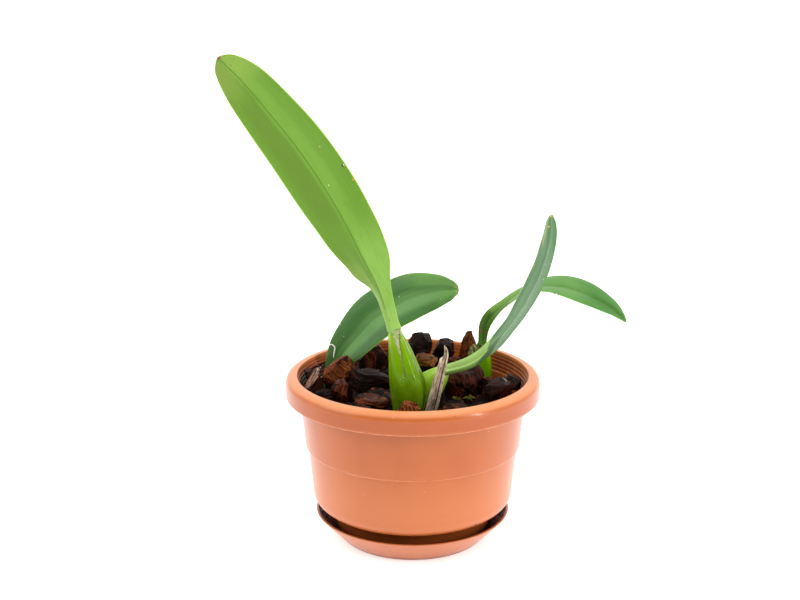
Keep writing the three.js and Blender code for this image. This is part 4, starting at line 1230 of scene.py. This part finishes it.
def blade(stations, columns, rows, relief=None, edge=0.5, tip_from=0.975, foot=0.0, flare=0.0,
          trim=None):
    """A long blade with a rounded edge, a channel along its upper midrib and a keel below. Where it is
    thick it is a fleshy oval stalk, which over its first foot millimetres is round and widens by the
    share flare. relief(u, t) adds a height to both faces and trim(u, t) scales the width."""
    midrib = [Vector(s[0]) for s in stations]
    sections = [Vector((s[1], s[2], s[3])) for s in stations]
    sideways = [Vector(s[4]) for s in stations]
    lengths = arc_lengths(midrib)

    def place(a, t):
        turn = 1 - abs(4 * a - 2)
        u = turn - CROWDING * math.sin(math.tau * turn) / math.tau
        face = 1.0 if a < 0.5 else -1.0
        off = abs(u)
        along = heading(midrib, t)
        across = through(sideways, t)
        across = (across - along * across.dot(along)).normalized()
        upper = across.cross(along)
        half, fold, thick = through(sections, t)
        taper = math.sqrt(max(0.0, 1 - (max(0.0, t - tip_from) / (1 - tip_from)) ** 2))
        flesh = min(max((thick - FLESH_FROM) / FLESH_SPAN, 0.0), 1.0)
        half = (half + 0.3 * flesh) * taper
        thick *= 0.35 + 0.65 * taper
        length = lengths[round(t * (len(lengths) - 1))]
        stub = max(0.0, 1 - length / foot) if foot else 0.0
        half *= 1 + flare * stub ** 2
        thick += (2 * half - thick) * stub ** 2
        flesh = max(flesh, stub)
        lens = (edge + (thick - edge) * (1 - u * u)) * math.sqrt(max(0.0, 1 - off ** BLUNTNESS))
        oval = thick * math.sqrt(max(0.0, 1 - u * u))
        thickness = lens * (1 - flesh) + oval * flesh
        reach = half * off * (trim(u, t) if trim else 1.0)
        crease = math.sqrt(u * u + CREASE_EASE) - CREASE_REST
        lift = half * crease * math.sin(math.radians(fold))
        lift += HALF_ARCH * half * 4 * off * (1 - off) * min(off / 0.15, 1.0)
        channel = math.exp(-(reach / RIB_SPREAD) ** 2) * taper * (1 - 0.5 * flesh) * (1 - stub)
        rise = face * thickness / 2 - (CHANNEL_DEPTH if face > 0 else KEEL_HEIGHT) * channel
        if relief:
            rise += relief(u, t)
        point = through(midrib, t) + upper * (lift + rise)
        point += across * (math.copysign(reach, u) * math.cos(math.radians(fold)))
        straight = Vector((math.copysign(reach, u), face * min(1.0, (1 - off) * 12), length))
        return point, straight, u

    return lofted(columns, rows, place)


def waved(seed, size):
    """Slow waves of a blade, growing to its edges."""
    return lambda u, t: size * u * u * noise.noise(Vector((seed, 9 * t, 2 * u)))


# Swellings, each with its height, where it is highest and how far it spreads: the dried sheath's ribs and
# groove, in millimetres, lie across it, and the others, in shares of the width, along a blade

SHEATH_RIBS = [(0.45, -0.62, 0.16), (0.6, 0.08, 0.15), (0.35, 0.8, 0.14)]
SHEATH_GROOVE = (-0.75, 0.42, 0.14)
SHEATH_FOOT = (0.3, 0, 0.25)
TALL_WAIST_LEFT = (0.32, 0.152, 0.035)
TALL_WAIST_RIGHT = (0.15, 0.165, 0.04)
RIGHT_LEAF_START = (0.42, 0.28, 0.1)


def swelling(place, height, middle, spread):
    """How high a swelling stands at a place."""
    return height * math.exp(-((place - middle) / spread) ** 2)


def ribbed(u, t):
    """The dried sheath's ribs, its deep groove, which runs out at the tip, and its crumpled surface."""
    ribs = sum(swelling(u, *rib) for rib in SHEATH_RIBS) + swelling(u, *SHEATH_GROOVE) * (1 - t ** 3)
    return ribs * (1 - 0.5 * t) + 0.3 * noise.noise(Vector((4.0, 12 * t, 2.4 * u)))


def full_waist(u, t):
    """The tall leaf stays wide down to its petiole, more so on its left half."""
    waist = TALL_WAIST_LEFT if u > 0 else TALL_WAIST_RIGHT
    return 1 + swelling(t, *waist) * min(1.0, 5 * abs(u))


def broad_start(u, t):
    """The right leaf's blade is broad right from its fold."""
    return 1 + swelling(t, *RIGHT_LEAF_START)


def torn(u, t):
    """The dried sheath's left half spreads at its foot and ends in a torn flap below the tip."""
    if u > 0:
        return 1.0
    flap = min(max((t - 0.66) / 0.07, 0.0), 1.0) * min(1.0, -8 * u)
    return 1.06 + swelling(t, *SHEATH_FOOT) - 0.72 * flap


def crumpled(seed):
    """The crumpling of a small dry flake."""
    return lambda u, t: 0.4 * noise.noise(Vector((seed, 6 * t, 2.5 * u))) + 0.25 * math.cos(7 * u)


def spots_on_leaf(bm, spots):
    """Spots given by pixels of the photograph, as places on the unbent leaf."""
    tree = BVHTree.FromBMesh(bm)
    flat = bm.verts.layers.float_vector["flat"]
    bm.faces.ensure_lookup_table()
    found = []
    for x, y, radius, tint in spots:
        place, _, number = under_pixel(x, y, tree)
        if place is None:
            place, _, number, _ = tree.find_nearest(nearest_on_sight(x, y, bm))
        corners = bm.faces[number].verts
        middle = sum((Vector(vert[flat]) for vert in corners), Vector()) / len(corners)
        found.append(((middle.x, 0, middle.z), radius, tint))
    return found


def nearest_on_sight(x, y, bm):
    """The place of the mesh's vertex that the photograph shows nearest to a pixel."""
    tilt = Matrix.Rotation(PITCH, 3, "X")

    def miss(vert):
        ahead = tilt @ (vert.co - EYE)
        seen_x = PHOTO_SIZE[0] / 2 + FOCUS * ahead.x / ahead.y
        seen_y = PHOTO_SIZE[1] / 2 - FOCUS * ahead.z / ahead.y
        return math.hypot(seen_x - x, seen_y - y)

    return min(bm.verts, key=miss).co


LEAF_TRIMS = {"tall": full_waist, "right": broad_start}
PETIOLE_FOOT = 7
PETIOLE_FLARES = {"tall": 0.17, "left": 0.12, "right": 0.12, "back": 0.12}
WAVE_HEIGHT = 0.25


def make_leaves():
    for count, (name, stations) in enumerate(LEAVES.items()):
        look = LEAF_LOOKS[name]
        bm = blade(stations, columns=80, rows=160, relief=waved(count * 5.1 + 2, WAVE_HEIGHT),
                   foot=PETIOLE_FOOT, flare=PETIOLE_FLARES[name], trim=LEAF_TRIMS.get(name))
        skin = leaf_skin(look, spots_on_leaf(bm, look["spots"]))
        finished(bm, f"leaf_{name}_blade", [skin], [f"leaf_{name}"])


# How the clinging films run up the front pseudobulb: the share of its height where each starts and
# ends, and along that its angle round the bulb and its half width

FILMS = [
    (0.56, 0.985, [(-1.5, 0.15), (-1.5, 0.45), (-1.5, 1.0), (-1.46, 1.6), (-1.3, 2), (-1.0, 2.2)]),
    # The strip along the right ridge: partly sheath remains, partly a painted highlight
    (0.5, 0.975, [(-0.52, 0.2), (-0.52, 0.4), (-0.5, 0.55), (-0.47, 0.65), (-0.44, 0.7), (-0.45, 0.7)]),
]
FILM_THICKNESS = 0.3
FLAKES = 13


def make_films(material):
    """Papery remains of old sheath that cling to the largest pseudobulb: a wedge in front and a thin pale
    strip along its right side, which is partly sheath remains and partly a painted highlight along that
    ridge."""
    axis = [Vector(s[:3]) for s in BULBS["front"]]
    girth = [Vector((s[3], 0, 0)) for s in BULBS["front"]]
    films = []
    for foot, head, path in FILMS:
        path = [Vector((angle, half, 0)) for angle, half in path]

        def place(a, t):
            turn = 1 - abs(4 * a - 2)
            rise = foot + (head - foot) * t
            middle, half, _ = through(path, t)
            radius = through(girth, rise).x
            ragged = half * (1 + 0.6 * noise.noise(Vector((math.copysign(3, turn), 26 * t, 0))))
            angle = middle + turn * ragged / radius
            ridge = radius * (1 + RIDGE_DEPTH * math.cos(BULB_RIDGES * (angle - RIDGE_SPIN)))
            crease = 0.14 * abs(noise.noise(Vector((2 * turn, 14 * t, 4.0))))
            lift = crease + (FILM_THICKNESS * math.sqrt(max(0.0, 1 - turn * turn)) if a < 0.5 else -0.1)
            point = through(axis, rise) + away_from(axis, rise, angle) * (ridge - 0.1 + lift)
            return point, Vector((radius * angle, 0, 40 * t)), turn

        films.append(lofted(around=24, along=80, place=place))
    finished(joined(films), "clinging_sheath_film", [material], ["clinging_sheath"])


def make_withered(material):
    """A clump of small curled flakes: what is left of the sheath round the back petiole."""
    draw = random.Random(SEED + 5)
    low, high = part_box("withered_sheath")
    centre = (Vector(low) + Vector(high)) / 2 / MM
    flakes = []
    for count in range(FLAKES):
        turn = math.tau * count / FLAKES + draw.uniform(-0.3, 0.3)
        outward = Vector((math.cos(turn), math.sin(turn), 0))
        foot = centre + Vector((outward.x, outward.y * 1.2, draw.uniform(-5, 0)))
        reach, height = draw.uniform(1.4, 3.2), draw.uniform(3, 6.5)
        side = outward.cross(Vector((0, 0, 1)))
        side.z = draw.uniform(-0.4, 0.4)
        width = draw.uniform(0.7, 1.5)
        rise = Vector((0, 0, height))
        stations = [
            (foot, width, 30, 0.7, side),
            (foot + outward * reach * 0.6 + rise * 0.4, width * 1.2, 34, 0.6, side),
            (foot + outward * reach + rise * 0.75, width, 30, 0.6, side),
            (foot + outward * reach * 0.7 + rise, width * 0.3, 20, 0.5, side),
        ]
        flakes.append(blade(stations, columns=20, rows=18, relief=crumpled(count * 2.7), edge=0.3,
                            tip_from=0.9))
    finished(joined(flakes), "withered_sheath_flakes", [material], ["withered_sheath"])


# Stage, in metres

FLOOR_REACH = 30
LIT_PLACE = Vector((0, 0, 0.1))


def make_stage():
    """A wide white table that glows a little, as the photograph's does."""
    bm = bmesh.new()
    bmesh.ops.create_grid(bm, x_segments=1, y_segments=1, size=FLOOR_REACH)
    floor = linked(bm, "floor")
    material, _, _ = shader("white_light_table", Roughness=0.95, Base_Color=srgb("#f6f6f6"),
                            Emission_Color=(1, 1, 1, 1), Emission_Strength=0.42)
    floor.data.materials.append(material)


def make_sky():
    """White surroundings: brightest overhead, white behind and beside the plant, dimmer in front."""
    world = bpy.data.worlds.new("studio")
    world.use_nodes = True
    tree = world.node_tree
    split = add(tree, "SeparateXYZ", {"Vector": add(tree, "TexCoord").outputs["Generated"]})
    level = add(tree, "MapRange", {"Value": split.outputs["Y"], "From Min": -0.85, "From Max": 0.15,
                                   "To Min": 0.06, "To Max": 1.15}, interpolation_type="SMOOTHSTEP")
    high = add(tree, "MapRange", {"Value": split.outputs["Z"], "From Min": 0.2, "From Max": 0.95},
               interpolation_type="SMOOTHSTEP")
    strength = add(tree, "Mix", {"Factor": high, "A": level, "B": 2.0})
    feed(tree, tree.nodes["Background"], {"Color": (1, 1, 1, 1), "Strength": strength})
    bpy.context.scene.world = world


def soft_light(name, place, size, power):
    """A softbox that faces the plant."""
    lamp = bpy.data.lights.new(name, "AREA")
    lamp.shape = "RECTANGLE"
    lamp.size, lamp.size_y = size
    lamp.energy = power
    lit = bpy.data.objects.new(name, lamp)
    lit.location = place
    lit.rotation_euler = (LIT_PLACE - Vector(place)).to_track_quat("-Z", "Y").to_euler()
    bpy.context.scene.collection.objects.link(lit)


def make_camera():
    """The photograph's view: from the front, 0.65 m away and 15 degrees down."""
    lens = bpy.data.cameras.new("camera")
    lens.lens = LENS
    lens.sensor_width = SENSOR
    lens.clip_start = 0.01
    view = bpy.data.objects.new("camera", lens)
    view.location = EYE
    view.rotation_euler = (math.pi / 2 - PITCH, 0, 0)
    bpy.context.scene.collection.objects.link(view)
    bpy.context.scene.camera = view


make_saucer(pot_plastic("moulded_polypropylene", SAUCER_DAMP_AND_SHADE), wet_stain())
make_pot()

barks = {kind: bark(kind) for kind in BARKS}
make_chips(barks)
make_bed(barks)
bark_pieces = [f"bark_chip_{name}_broken" for name in CHIPS] + ["bark_bed_broken"]
heap = carrier_of(bark_pieces)
strew_crumbs(heap, barks)
make_moss(heap, plain_skin("moss_leaf", "#75751f", "#aba548", 0.7, 0.8))
chalk = plain_skin("lime_and_perlite", "#cfc6ba", "#efe9e0", 0.7, 0.6)
make_grains(carrier_of(bark_pieces + ["pot_shell"]), chalk)

make_bulb("front", sides=96, rows=90)
make_bulb("right", sides=72, rows=70)
make_bulb("back", sides=56, rows=60)
make_bulb("left", sides=40, rows=30)
make_leaves()
make_water_mark(carrier_of(["leaf_left_blade"]), chalk)

dry = dry_tissue("dried_sheath_tissue", ("#5c4a38", "#9c886e", "#d2c2a6"),
                 groove=(0.26, 0.36, 0.46, 0.58), damp_and_shade_to=(9, 26))
film = dry_tissue("sheath_film_tissue", ("#627028", "#82914a", "#a8a682"),
                  groove=(0.35, 0.6, 0.8, 1), shadow="#3a4a10", damp_and_shade_to=(8, 20))
withered = dry_tissue("withered_sheath_tissue", ("#33330f", "#60602a", "#8f8d55"))
sheath = blade(DRIED_SHEATH, columns=64, rows=110, relief=ribbed, edge=0.35, tip_from=0.94, trim=torn)
finished(sheath, "dried_sheath_blade", [dry], ["dried_sheath"])
make_films(film)
make_withered(withered)

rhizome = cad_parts["rhizome"].data
rhizome.materials.clear()
rhizome.materials.append(plain_skin("root_velamen", "#7a6c4a", "#a89b7c", 0.8, 1.5))

make_stage()
make_sky()
soft_light("right_strip", place=(0.8, -0.52, 0.4), size=(0.02, 0.5), power=4.5)
soft_light("left_box", place=(-0.9, -0.3, 0.6), size=(0.6, 0.6), power=3)
make_camera()
bpy.context.scene.view_settings.view_transform = "Standard"
